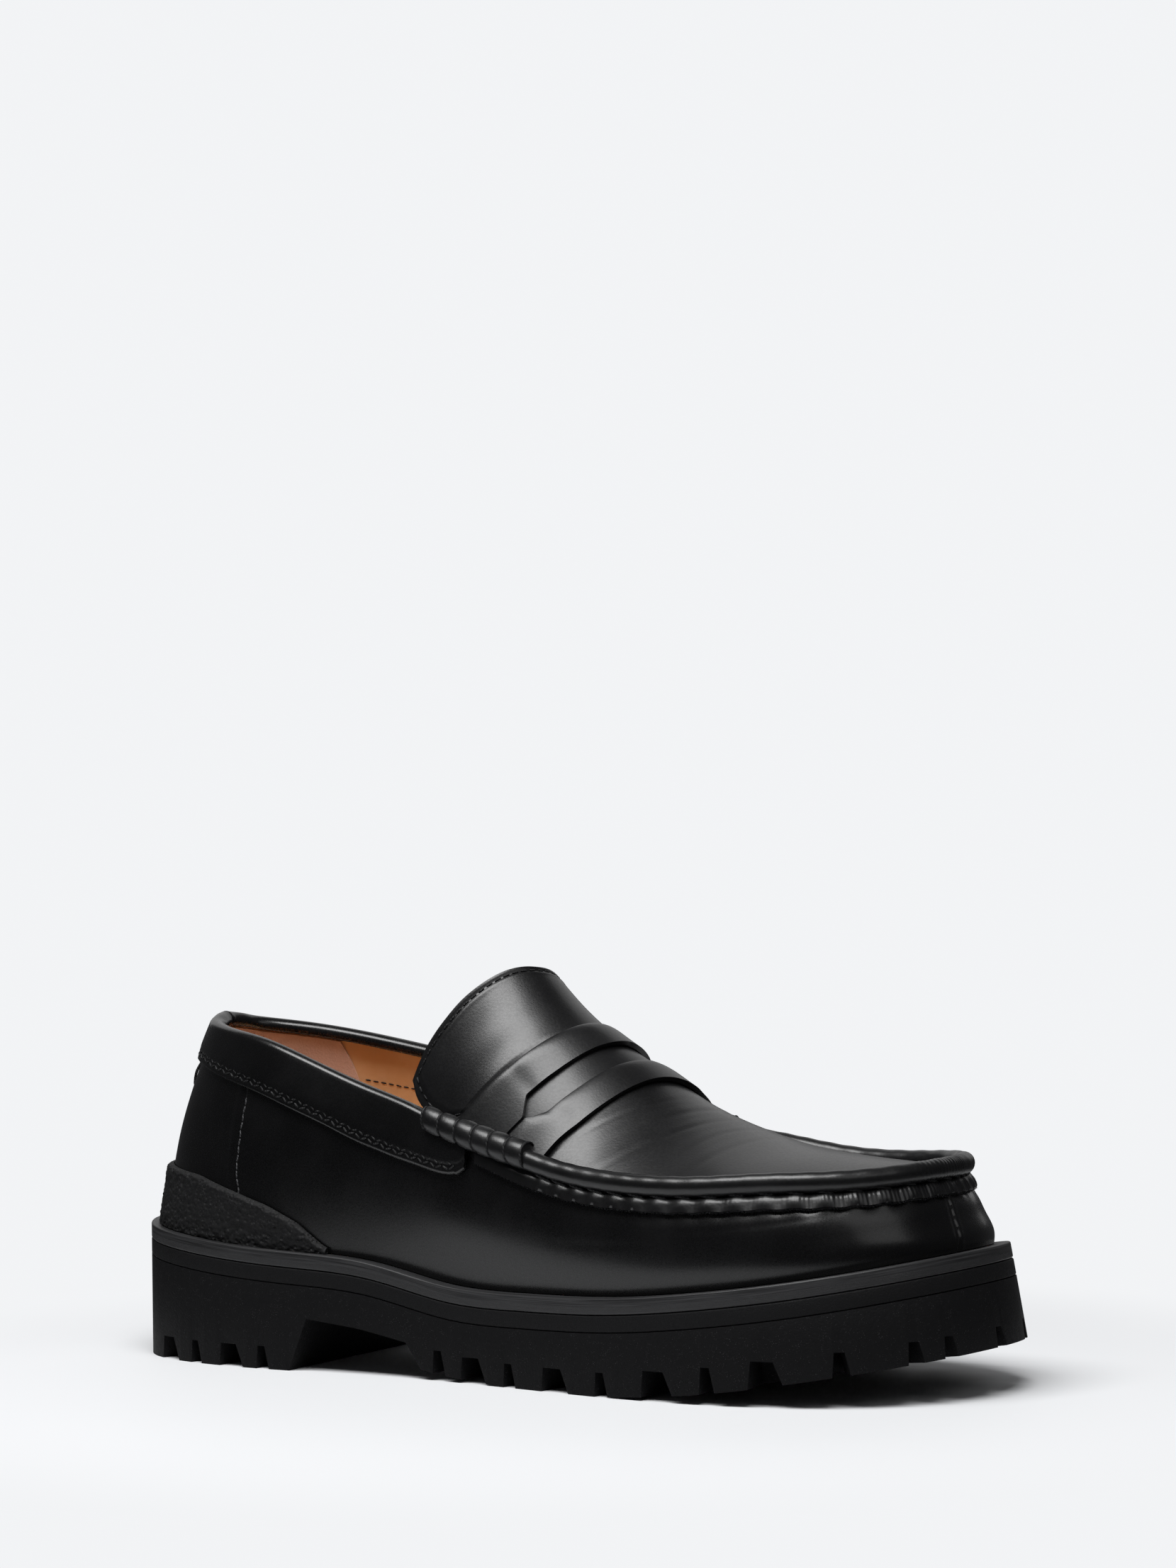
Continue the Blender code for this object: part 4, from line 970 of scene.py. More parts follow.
@dataclass
class SeamPlan:
    """Turns of the hand stitches round the moccasin seam."""

    form: Form
    start: float = 0.2560
    end: float = 0.7070
    pitches: tuple = ((0.256, 6.4), (0.290, 7.4), (0.325, 8.6), (0.400, 8.8), (0.440, 9.4), (0.470, 8.2), (0.485, 5.6),
                      (0.500, 4.8), (0.515, 5.6), (0.540, 8.4), (0.640, 8.8), (0.707, 6.6))
    turns: np.ndarray = field(init=False)

    def __post_init__(self) -> None:
        """Walk along the seam one stitch at a time."""
        u = np.linspace(self.start, self.end, 3000)
        path = self.form.wall(u, 1.0)
        far, marks = walked(path), [0.0]
        while marks[-1] < far[-1]:
            here = np.interp(marks[-1], far, u)
            marks.append(marks[-1] + np.interp(here, *zip(*self.pitches)) * MM)
        self.turns = np.interp(marks, far, u)

    def phase(self, u: np.ndarray) -> np.ndarray:
        """Number of stitches up to a turn."""
        return np.interp(np.asarray(u) % 1.0, self.turns, np.arange(len(self.turns)))


@dataclass(frozen=True)
class Row:
    """Measures of one row of stitches; the tilt in degrees turns them left and right in turn."""

    pitch: float
    length: float
    radius: float
    tilt: float = 0.0
    lift: float = 0.0


@dataclass
class Stitching:
    """Threads laid by Geometry Nodes on points with directions."""

    tree: bpy.types.NodeTree = field(init=False)

    def __post_init__(self) -> None:
        """Build the tree once."""
        self.tree = bpy.data.node_groups.new("stitch_run", "GeometryNodeTree")
        face = self.tree.interface
        face.new_socket("Geometry", in_out="INPUT", socket_type="NodeSocketGeometry")
        face.new_socket("Length", in_out="INPUT", socket_type="NodeSocketFloat")
        face.new_socket("Radius", in_out="INPUT", socket_type="NodeSocketFloat")
        face.new_socket("Finish", in_out="INPUT", socket_type="NodeSocketMaterial")
        face.new_socket("Geometry", in_out="OUTPUT", socket_type="NodeSocketGeometry")
        g = Graph(self.tree)
        ports = self.tree.nodes.new("NodeGroupInput")
        points, length, radius, finish = (Value(g, ports.outputs[k]) for k in range(4))
        line = g.node("GeometryNodeCurvePrimitiveLine", None, {"Start": (-0.5, 0, 0), "End": (0.5, 0, 0)})
        line = g.node("GeometryNodeResampleCurve", {"mode": "COUNT"}, {"Curve": line, "Count": 8})
        place = g.node("GeometryNodeSplineParameter", None, None, "Factor")
        away = (place * 2.0 - 1.0).maths("ABSOLUTE")
        line = g.node("GeometryNodeSetCurveRadius", None, {"Curve": line, "Radius": (1.0 - away ** 3.5) ** 0.5})
        ring = g.node("GeometryNodeCurvePrimitiveCircle", None, {"Resolution": 8, "Radius": 1.0})
        ins = {"Curve": line, "Profile Curve": ring}
        if "Scale" in self.probe("GeometryNodeCurveToMesh"):
            ins["Scale"] = g.node("GeometryNodeInputRadius")
        body = g.node("GeometryNodeCurveToMesh", None, ins)
        body = g.node("GeometryNodeMergeByDistance", None, {"Geometry": body, "Distance": 1e-4})
        body = g.node("GeometryNodeSetShadeSmooth", None, {"Geometry": body})
        vector = {"data_type": "FLOAT_VECTOR"}
        ahead = g.node("GeometryNodeInputNamedAttribute", vector, {"Name": "ahead"})
        up = g.node("GeometryNodeInputNamedAttribute", vector, {"Name": "up"})
        turn = g.node("FunctionNodeAlignRotationToVector", {"axis": "X"}, {"Vector": ahead})
        turn = g.node("FunctionNodeAlignRotationToVector", {"axis": "Z", "pivot_axis": "X"},
                      {"Rotation": turn, "Vector": up})
        size = g.node("ShaderNodeCombineXYZ", None, {"X": length, "Y": radius, "Z": radius * 0.9})
        laid = g.node("GeometryNodeInstanceOnPoints", None,
                      {"Points": points, "Instance": body, "Rotation": turn, "Scale": size})
        laid = g.node("GeometryNodeRealizeInstances", None, {"Geometry": laid})
        laid = g.node("GeometryNodeSetMaterial", None, {"Geometry": laid, "Material": finish})
        g.node("NodeGroupOutput", None, {"Geometry": laid})

    def probe(self, kind: str) -> list:
        """Names of a node type's inputs in this version.

        Args:
            kind: Type of the node.

        Returns:
            The names.
        """
        made = self.tree.nodes.new(kind)
        names = [s.name for s in made.inputs]
        self.tree.nodes.remove(made)
        return names

    def run(self, name: str, places: np.ndarray, ahead: np.ndarray, up: np.ndarray, length: float,
            radius: float, finish: bpy.types.Material) -> bpy.types.Object:
        """Lay one row of stitches.

        Args:
            name: Name of the piece.
            places: Middle of each stitch.
            ahead: Direction of each stitch.
            up: Direction off the surface.
            length: Length of a stitch.
            radius: Radius of the thread.
            finish: Material of the thread.

        Returns:
            The piece, one plain mesh.
        """
        data = bpy.data.meshes.new(name)
        data.from_pydata((np.asarray(places) + SHIFT).tolist(), [], [])
        for key, values in (("ahead", ahead), ("up", up)):
            layer = data.attributes.new(key, "FLOAT_VECTOR", "POINT")
            layer.data.foreach_set("vector", np.asarray(values, float).reshape(-1))
        piece = linked(name, data)
        lay = piece.modifiers.new("lay", "NODES")
        lay.node_group = self.tree
        sockets = {s.name: s.identifier for s in self.tree.interface.items_tree if s.in_out == "INPUT"}
        lay[sockets["Length"]], lay[sockets["Radius"]] = float(length), float(radius)
        lay[sockets["Finish"]] = finish
        settle(piece)
        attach(piece, "root")
        LOG.info("%s: %d stitches", name, len(places))
        return piece

    def along(self, name: str, path: np.ndarray, normal: np.ndarray, row: Row,
              finish: bpy.types.Material) -> bpy.types.Object:
        """Lay evenly spaced stitches along a path.

        Args:
            name: Name of the piece.
            path: Points of the path.
            normal: Direction off the surface at each point.
            row: Measures of the stitches.
            finish: Material of the thread.

        Returns:
            The piece.
        """
        far = walked(path)
        marks = np.arange(row.pitch / 2, far[-1], row.pitch)
        at, up = between(marks, far, path), unit(between(marks, far, normal))
        ahead = unit(between(marks + row.pitch / 4, far, path) - between(marks - row.pitch / 4, far, path))
        swing = np.radians(row.tilt) * np.where(np.arange(len(marks)) % 2, 1, -1)[:, None]
        ahead = ahead * np.cos(swing) + np.cross(up, ahead) * np.sin(swing)
        return self.run(name, at + up * row.lift, ahead, up, row.length, row.radius, finish)


@dataclass
class SoleUnit:
    """Welt, midsole and lugged outsole."""

    maker: Maker
    welt: float = 5.0 * MM
    midsole: float = 5.2 * MM
    gap: float = 0.20 * MM
    reach: float = 15 * MM
    notch_width: float = 7 * MM
    notch_height: float = 7.4 * MM
    end_width: float = 3 * MM
    cleat: float = 5.5 * MM
    groove: float = 3.4 * MM
    lip: float = 0.55 * MM
    ledge: float = 3 * MM
    depth: float = 22 * MM
    rows: int = 640
    end_reach: float = 9 * MM

    def ring(self, name: str, top: float, bottom: float, finish: bpy.types.Material, slot: str) -> None:
        """Layer round the sole's edge between two depths under the welt's top.

        Args:
            name: Name of the piece.
            top: Upper depth.
            bottom: Lower depth.
            finish: Material.
            slot: The record's slot.
        """
        form, r = self.maker.form, self.lip
        p, n = form.outline(np.arange(self.rows) / self.rows)
        profile = [(0, (top + bottom) / 2), (0, top + r)]
        profile += [(r * (1 - math.cos(a)), top + r * (1 - math.sin(a))) for a in (0.5, 1.0, 1.35)]
        for level, insets in ((top, (r, self.ledge, self.depth)), (bottom, (self.depth, self.ledge, r))):
            profile += [(inset, level) for inset in insets]
        profile += [(r * (1 - math.cos(a)), bottom - r * (1 - math.sin(a))) for a in (1.35, 1.0, 0.5)]
        profile += [(0, bottom - r)]
        rows = [form.below(p[:, 0] - n[:, 0] * i, p[:, 1] - n[:, 1] * i, d) for i, d in profile]
        piece = self.maker.loft(name, np.stack(rows, 1), finish, closed=True, slot=slot)
        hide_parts(name.replace("_edge", ""))

    def wedge(self, u: float, width: float, lean: float, reach: float) -> list:
        """Eight corners of the wedge that cuts one notch between two lugs.

        Args:
            u: Turn of its middle.
            width: Width of the notch.
            lean: Sign of its slant.
            reach: Depth into the sole.

        Returns:
            The corners in the order of BOX_FACES.
        """
        form = self.maker.form
        p, n = form.outline(u)
        along = form.share(p[0])
        floor = form.tread(along)
        rise = self.notch_height * (1 - 0.19 * np.clip((along - 0.8) / 0.2, 0, 1))
        shift = 5.6 * MM * np.sin(np.arctan(0.2)) * np.clip((along - 0.75) / 0.25, 0, 1)
        tangent, out = np.array([-n[1], n[0]]), []
        for base in (p + n * (4 * MM + shift * 2), p - n * reach):
            for z, front, back in ((rise, 0.5, 0.5), (-8 * MM, 0.62, 1.25)):
                spread = width if z > 0 else width + 1.2 * MM
                a, b = base - tangent * spread * front * lean, base + tangent * spread * back * lean
                out += [(a[0], a[1], floor + z), (b[0], b[1], floor + z)]
        return [out[k] for k in (0, 1, 3, 2, 4, 5, 7, 6)]

    def bar(self, along: float) -> list:
        """Eight corners of a groove across the middle of the tread.

        Args:
            along: Place along the sole.

        Returns:
            The corners in the order of BOX_FACES.
        """
        form, ends, out = self.maker.form, [], []
        for side, slant in ((Side.LATERAL, -0.012), (Side.MEDIAL, 0.012)):
            p, n = form.outline(side.round(form.turn_at(along + slant, side)))
            ends.append(p - n * (self.reach + 1.5 * MM))
        across = unit(np.array([ends[0][1] - ends[1][1], ends[1][0] - ends[0][0]])) * 1.8 * MM
        floor = float(form.tread(along))
        for end in ends:
            for z, sign in ((self.cleat * 0.8, -1), (self.cleat * 0.8, 1), (-9 * MM, 1), (-9 * MM, -1)):
                out.append((*(end + across * sign), floor + z))
        return out

    def trench(self, start: float, end: float, count: int) -> tuple:
        """Corners and faces of the groove that parts the edge lugs from the middle.

        Args:
            start: Place along the sole of its heel end.
            end: Place of its toe end.
            count: Points on each side.

        Returns:
            Corners and faces.
        """
        form = self.maker.form
        lateral = np.linspace(form.turn_at(start), form.turn_at(end), count)
        medial = np.linspace(form.turn_at(end, Side.MEDIAL), form.turn_at(start, Side.MEDIAL), count)
        p0, n0 = form.outline(lateral)
        p1, n1 = form.outline(1 - medial)
        path = np.concatenate([p0 - n0 * (self.reach + 1.1 * MM), p1 - n1 * (self.reach + 1.1 * MM)])
        ahead = np.roll(path, -1, 0) - np.roll(path, 1, 0)
        side = unit(np.stack([ahead[:, 1], -ahead[:, 0]], -1)) * self.groove / 2
        floor = form.tread(form.share(path[:, 0]))
        low, high = floor - 8 * MM, floor + self.cleat
        rows = [np.column_stack([path + side * s, z]) for s, z in ((-1, low), (1, low), (1, high), (-1, high))]
        count = len(path)
        faces = [[k * 4 + j, (k + 1) % count * 4 + j, (k + 1) % count * 4 + (j + 1) % 4, k * 4 + (j + 1) % 4]
                 for k in range(count) for j in range(4)]
        return np.stack(rows, 1).reshape(-1, 3), faces

    def cut(self, piece: bpy.types.Object, points: np.ndarray, faces: list) -> None:
        """Cut closed forms from a piece.

        Args:
            piece: The piece.
            points: Corners of the forms.
            faces: Their faces.
        """
        data = bpy.data.meshes.new("cutter")
        data.from_pydata((np.asarray(points) + SHIFT).tolist(), [], faces)
        outward(data)
        cutter = linked("cutter", data)
        taken = piece.modifiers.new("cut", "BOOLEAN")
        taken.operation, taken.solver, taken.object = "DIFFERENCE", "EXACT", cutter
        bpy.context.view_layer.update()
        settle(piece)
        bpy.data.objects.remove(cutter, do_unlink=True)

    def outsole(self) -> None:
        """Rubber unit with the heel, the arch, the tread and its lugs."""
        form, maker = self.maker.form, self.maker
        marks = [form.turn_at(a) for a in (0.252, 0.275, 0.400, 0.420)]
        s = np.linspace(0, 1, 190)[1:-1]
        s = 0.5 * (s - 0.6 * np.sin(2 * math.pi * s) / (2 * math.pi))
        turns = np.array(sorted([t for t in s if min(abs(t - m) for m in marks) > 0.0006] + marks))
        loop = np.concatenate([[0.0], turns, [0.5], 1 - turns[::-1]])
        p, n = form.outline(loop)
        along = form.share(p[:, 0])
        floor = form.tread(along)
        drop = form.welt_top(p[:, 0]) - floor
        depth = self.welt + self.midsole + 2 * self.gap
        low = form.below(p[:, 0], p[:, 1], drop)
        low[:, 2] = floor
        top = form.below(p[:, 0], p[:, 1], depth)
        count, half = len(loop), len(turns)
        faces = [[k, (k + 1) % count, (k + 1) % count + count, k + count] for k in range(count)]
        for k in range(half + 1):
            a, b = k, k + 1
            c, d = count - k - 1, (count - k) % count
            quad = {0: [0, 1, count - 1], half: [half, half + 1, half + 2]}.get(k, [a, b, c, d])
            faces += [quad, [q + count for q in reversed(quad)]]
        piece = maker.mesh("lug_sole", np.concatenate([top, low]), faces, maker.finishes.rubber, "rubber_black")
        sides = []
        for place, width in NOTCHES:
            for side, lean in ((Side.LATERAL, 1.0), (Side.MEDIAL, -1.0)):
                u = side.round(form.turn_at(place, side))
                sides.append(self.wedge(u, width * self.notch_width, lean, self.reach))
        toe = [self.wedge(u, self.end_width, 1.0 if u < 0.5 else -1.0, self.end_reach) for u in TOE_NOTCHES]
        back = [self.wedge(u, self.end_width, 1.0 if u > 0 else -1.0, self.end_reach) for u in HEEL_BACK_NOTCHES]
        for group in (sides, toe, back, [self.bar(a) for a in MIDDLE_GROOVES]):
            box = [[8 * k + j for j in ring] for k in range(len(group)) for ring in BOX_FACES]
            self.cut(piece, np.array(group).reshape(-1, 3), box)
        for span in ((0.445, 0.985, 60), (0.045, 0.240, 22)):
            self.cut(piece, *self.trench(*span))
        bevel = piece.modifiers.new("worn", "BEVEL")
        bevel.width, bevel.segments, bevel.limit_method, bevel.angle_limit = 0.45 * MM, 2, "ANGLE", math.radians(35)
        settle(piece)
        piece.data.shade_smooth()
        piece.data.set_sharp_from_angle(angle=math.radians(30))
        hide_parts("outsole")

    def build(self) -> None:
        """Make the whole sole."""
        looks, step = self.maker.finishes, self.welt + self.gap
        self.ring("welt_edge", 0.0, self.welt, looks.welt, "welt_black")
        self.ring("midsole_edge", step, step + self.midsole, looks.midsole, "midsole_black")
        self.outsole()


@dataclass
class Upper:
    """Quarters, apron, tongue, linings and insole."""

    maker: Maker
    plan: SeamPlan
    threads: Stitching
    skin: float = 1.2 * MM
    leather: float = 2.0 * MM
    throat: float = 0.612
    rim: float = 1.8 * MM
    counter: tuple = ((0.20, 0.1082), (0.35, 0.1060), (0.56, 0.1086), (0.74, 0.1111))
    hold: tuple = ((0.62, 0.99), (0.76, 1.0), (0.82, 1.06), (0.90, 1.05), (0.958, 1.01), (0.985, 0.975), (1.0, 0.945))
    fuller: tuple = ((-1.0, 0.0), (-0.90, 0.014), (-0.84, 0.024), (-0.73, 0.032), (-0.52, 0.035), (-0.38, 0.029),
                     (-0.22, 0.021), (0.05, 0.0), (1.0, 0.0))
    toe_seam: tuple = ((0.0, 0.4773), (0.50, 0.4809), (0.76, 0.4831), (1.0, 0.4838))
    # turn of the middle, height, length in turns, slope in turns for each height, depth in mm, half width
    folds: tuple = (
        (0.330, 0.62, 0.030, 0.02, 0.08, 0.035), (0.300, 0.50, 0.030, 0.04, 0.07, 0.040),
        (0.375, 0.66, 0.020, 0.03, 0.07, 0.030),
    )
    # station, place across, depth in mm, half width, bow
    creases: tuple = (
        (0.50, 0.2, 0.07, 0.007, 0.02), (0.455, -0.3, 0.06, 0.006, 0.03), (0.41, 0.15, 0.05, 0.006, -0.02),
        (0.36, -0.2, 0.04, 0.007, 0.02), (0.545, -0.5, 0.06, 0.005, 0.02),
    )
    girth: float = 620 * MM
    flap_width: float = 45 * MM
    flap_length: float = 150 * MM
    sock_height: float = 5.6 * MM
    lining_span: tuple = (0.119, 0.215)
    lining_level: float = 0.775
    lining_row: Row = Row(3.0 * MM, 2.2 * MM, 0.26 * MM, lift=0.05 * MM)
    tongue_row: Row = Row(3.3 * MM, 2.5 * MM, 0.32 * MM, lift=-0.18 * MM)
    counter_off: float = 0.0022
    counter_row: Row = Row(2.7 * MM, 2.6 * MM, 0.34 * MM, 9.0, 0.22 * MM)
    toe_off: float = 0.0034
    toe_row: Row = Row(2.8 * MM, 1.9 * MM, 0.24 * MM, lift=-0.05 * MM)

    def relief(self, u: np.ndarray, v: np.ndarray) -> np.ndarray:
        """Pleats under the seam, seams and folds of the quarters as a height.

        Args:
            u: Turns.
            v: Heights.

        Returns:
            Heights off the wall, in metres.
        """
        u = u % 1.0
        turn = np.minimum(u, 1 - u)
        reach = np.clip((turn - 0.27) / 0.06, 0, 1) * (0.35 + 0.65 * np.clip((turn - 0.36) / 0.09, 0, 1))
        wave = np.cos(2 * math.pi * self.plan.phase(u))
        out = -0.55 * MM * reach * wave * bump(v, 0.90, 0.13) * (v < 1.01)
        out += 0.45 * MM * reach * bump(v, 0.62, 0.16)
        gap = (turn - np.interp(v, *zip(*self.counter))) * self.girth
        out -= 0.55 * MM * bump(gap, 0, 0.55 * MM)
        out += 0.35 * MM * bump(gap, 1.7 * MM, 1.3 * MM) + 0.25 * MM * bump(gap, -1.6 * MM, 1.2 * MM)
        gap = (u - np.interp(v, *zip(*self.toe_seam))) * self.girth
        out -= 0.50 * MM * bump(gap, 0, 0.5 * MM)
        out += 0.45 * MM * bump(gap, -1.5 * MM, 1.1 * MM) + 0.15 * MM * bump(gap, 1.6 * MM, 1.1 * MM)
        for middle, height, long, slope, depth, wide in self.folds:
            for side in (u, 1 - u):
                line = v - height - (side - middle) / long * slope
                out -= depth * MM * bump(line, 0, wide) * bump(side, middle, long)
                out += 0.6 * depth * MM * bump(line, wide * 2.2, wide * 1.4) * bump(side, middle, long)
        return out

    def quarters(self) -> None:
        """Side wall of the upper."""
        form, maker = self.maker.form, self.maker
        u, v = np.meshgrid(np.arange(960) / 960, np.linspace(0, 1, 50), indexing="ij")
        grid = form.wall(u, v)
        grid = grid + form.wall_normal(u, v) * self.relief(u, v)[..., None]
        piece = maker.shell("quarters", grid, -self.skin, 0.0, maker.finishes.leather, closed=True, round_by=0)
        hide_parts("upper")
        u, v = np.meshgrid(np.arange(300) / 300, np.linspace(0.03, 1, 18), indexing="ij")
        drop = np.clip(0.9 * MM / form.wall_height(u), 0, 0.2)
        maker.shell("quarter_lining", form.wall(u, v * (1 - drop)), -self.leather, -self.skin - 0.1 * MM,
                    maker.finishes.lining, closed=True, slot="lining_tan", round_by=0)
        v, s = np.meshgrid(np.linspace(0.12, 0.965, 40), np.linspace(-1, 1, 110), indexing="ij")
        end = 0.118 - 0.065 * (v - 0.62) ** 2
        maker.shell("heel_grip", form.wall(s * end, v).transpose(1, 0, 2), -self.leather - 0.7 * MM,
                    -self.leather - 0.1 * MM, maker.finishes.suede, slot="lining_tan", round_by=0.2 * MM)
        for side in Side:
            u = side.round(np.linspace(*self.lining_span, 200))
            normal = form.wall_normal(u, self.lining_level)
            path = form.wall(u, self.lining_level) - normal * self.leather
            self.threads.along(f"lining_stitches_{side.name.lower()}", path, -normal, self.lining_row,
                               maker.finishes.thread)

    def apron(self) -> None:
        """Top of the vamp inside the seam."""
        form, maker = self.maker.form, self.maker
        w, t = np.meshgrid(np.linspace(-1, 1, 161), np.linspace(0.004, self.throat, 220), indexing="ij")
        grid = form.crown(w, t)
        height = np.zeros_like(w)
        for place, side, depth, wide, bow in self.creases:
            line = t - place - bow * w * w
            height -= depth * MM * bump(line, 0, wide) * bump(w, side, 0.55)
            height += 0.6 * depth * MM * bump(line, wide * 2.1, wide * 1.3) * bump(w, side, 0.6)
        grid = grid + form.crown_normal(w, t) * height[..., None]
        piece = maker.shell("apron", grid, -self.skin, 0.0, maker.finishes.soft, round_by=0)
        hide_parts("upper")

    def flap(self, s: np.ndarray, t: np.ndarray) -> tuple:
        """Points and normals of the tongue, fuller than the crown at its outer corner.

        Args:
            s: Place across, -1 lateral to 1 medial.
            t: Place along, 1 at the top edge.

        Returns:
            Points and unit normals.
        """
        form = self.maker.form
        w = eased(t, self.hold, 0.010) * s
        more = eased(w, self.fuller, 0.05) * np.clip((t - 0.80) / 0.20, 0, 1) ** 2
        ahead = (form.crown(w, 1.0) - form.crown(w, 0.97)) / 0.03
        return form.crown(w, t) + ahead * more[..., None], form.crown_normal(w, t)

    def tongue(self) -> None:
        """Tongue with its stitched rim and its lining."""
        maker = self.maker
        s, t = np.meshgrid(np.linspace(-1, 1, 121), np.linspace(0.620, 1.0, 110), indexing="ij")
        grid, up = self.flap(s, t)
        rim = np.minimum((1 - np.abs(s)) * self.flap_width, (1 - t) * self.flap_length)
        height = -0.40 * MM * bump(rim, self.rim, 0.6 * MM) + 0.10 * MM * bump(rim, self.rim + 1.3 * MM, 0.8 * MM)
        height += 0.12 * MM * np.sin(t * 46 + s * 2.2) * bump(t, 0.86, 0.08) * bump(s, -0.55, 0.4)
        piece = maker.shell("tongue_leather", grid + up * height[..., None], -self.skin, 0.0, maker.finishes.soft)
        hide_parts("tongue")
        maker.shell("tongue_lining", grid[::3, ::3], -self.leather, -self.skin - 0.1 * MM, maker.finishes.lining,
                    slot="lining_tan", round_by=0)
        inset, last = 1 - self.rim / self.flap_width, 1 - self.rim / self.flap_length
        side, over = np.linspace(0.70, last, 90), np.linspace(-inset, inset, 110)
        across = np.concatenate([np.full(90, -inset), over[1:-1], np.full(90, inset)])
        path, normal = self.flap(across, np.concatenate([side, np.full(108, last), side[::-1]]))
        self.threads.along("tongue_stitches", path, normal, self.tongue_row, maker.finishes.thread)

    def seams(self) -> None:
        """Threads of the counter seams and of the toe seam."""
        form, looks = self.maker.form, self.maker.finishes
        v = np.linspace(0.24, 0.735, 120)
        for name, sign in (("lateral", 1), ("medial", -1)):
            edge = np.interp(v, *zip(*self.counter)) * sign + self.counter_off * sign
            self.threads.along(f"counter_stitches_{name}", form.wall(edge, v), form.wall_normal(edge, v),
                               self.counter_row, looks.grey_thread)
        v = np.linspace(0.06, 0.84, 90)
        u = np.interp(v, *zip(*self.toe_seam)) + self.toe_off
        self.threads.along("toe_stitches", form.wall(u, v), form.wall_normal(u, v), self.toe_row, looks.thread)

    def insole(self) -> None:
        """Leather sock on the lasting margin."""
        form, maker = self.maker.form, self.maker
        turns, mix = np.linspace(0.004, 0.496, 150), np.linspace(0, 1, 11)[None, :, None]
        sides = []
        for u in (turns, 1 - turns):
            v = self.sock_height / form.wall_height(u)
            sides.append((form.wall(u, v) - form.wall_normal(u, v) * (self.leather + 1.4 * MM))[:, :2])
        flat = sides[0][:, None] * (1 - mix) + sides[1][:, None] * mix
        top = np.concatenate([flat, (form.welt_top(flat[..., 0]) + form.gap + self.sock_height)[..., None]], -1)
        piece = maker.shell("sock", top, -3 * MM, 0.0, maker.finishes.lining, slot="lining_tan")
        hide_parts("insole")

    def build(self) -> None:
        """Make the upper and what is inside it."""
        self.quarters()
        self.apron()
        self.tongue()
        self.seams()
        self.insole()


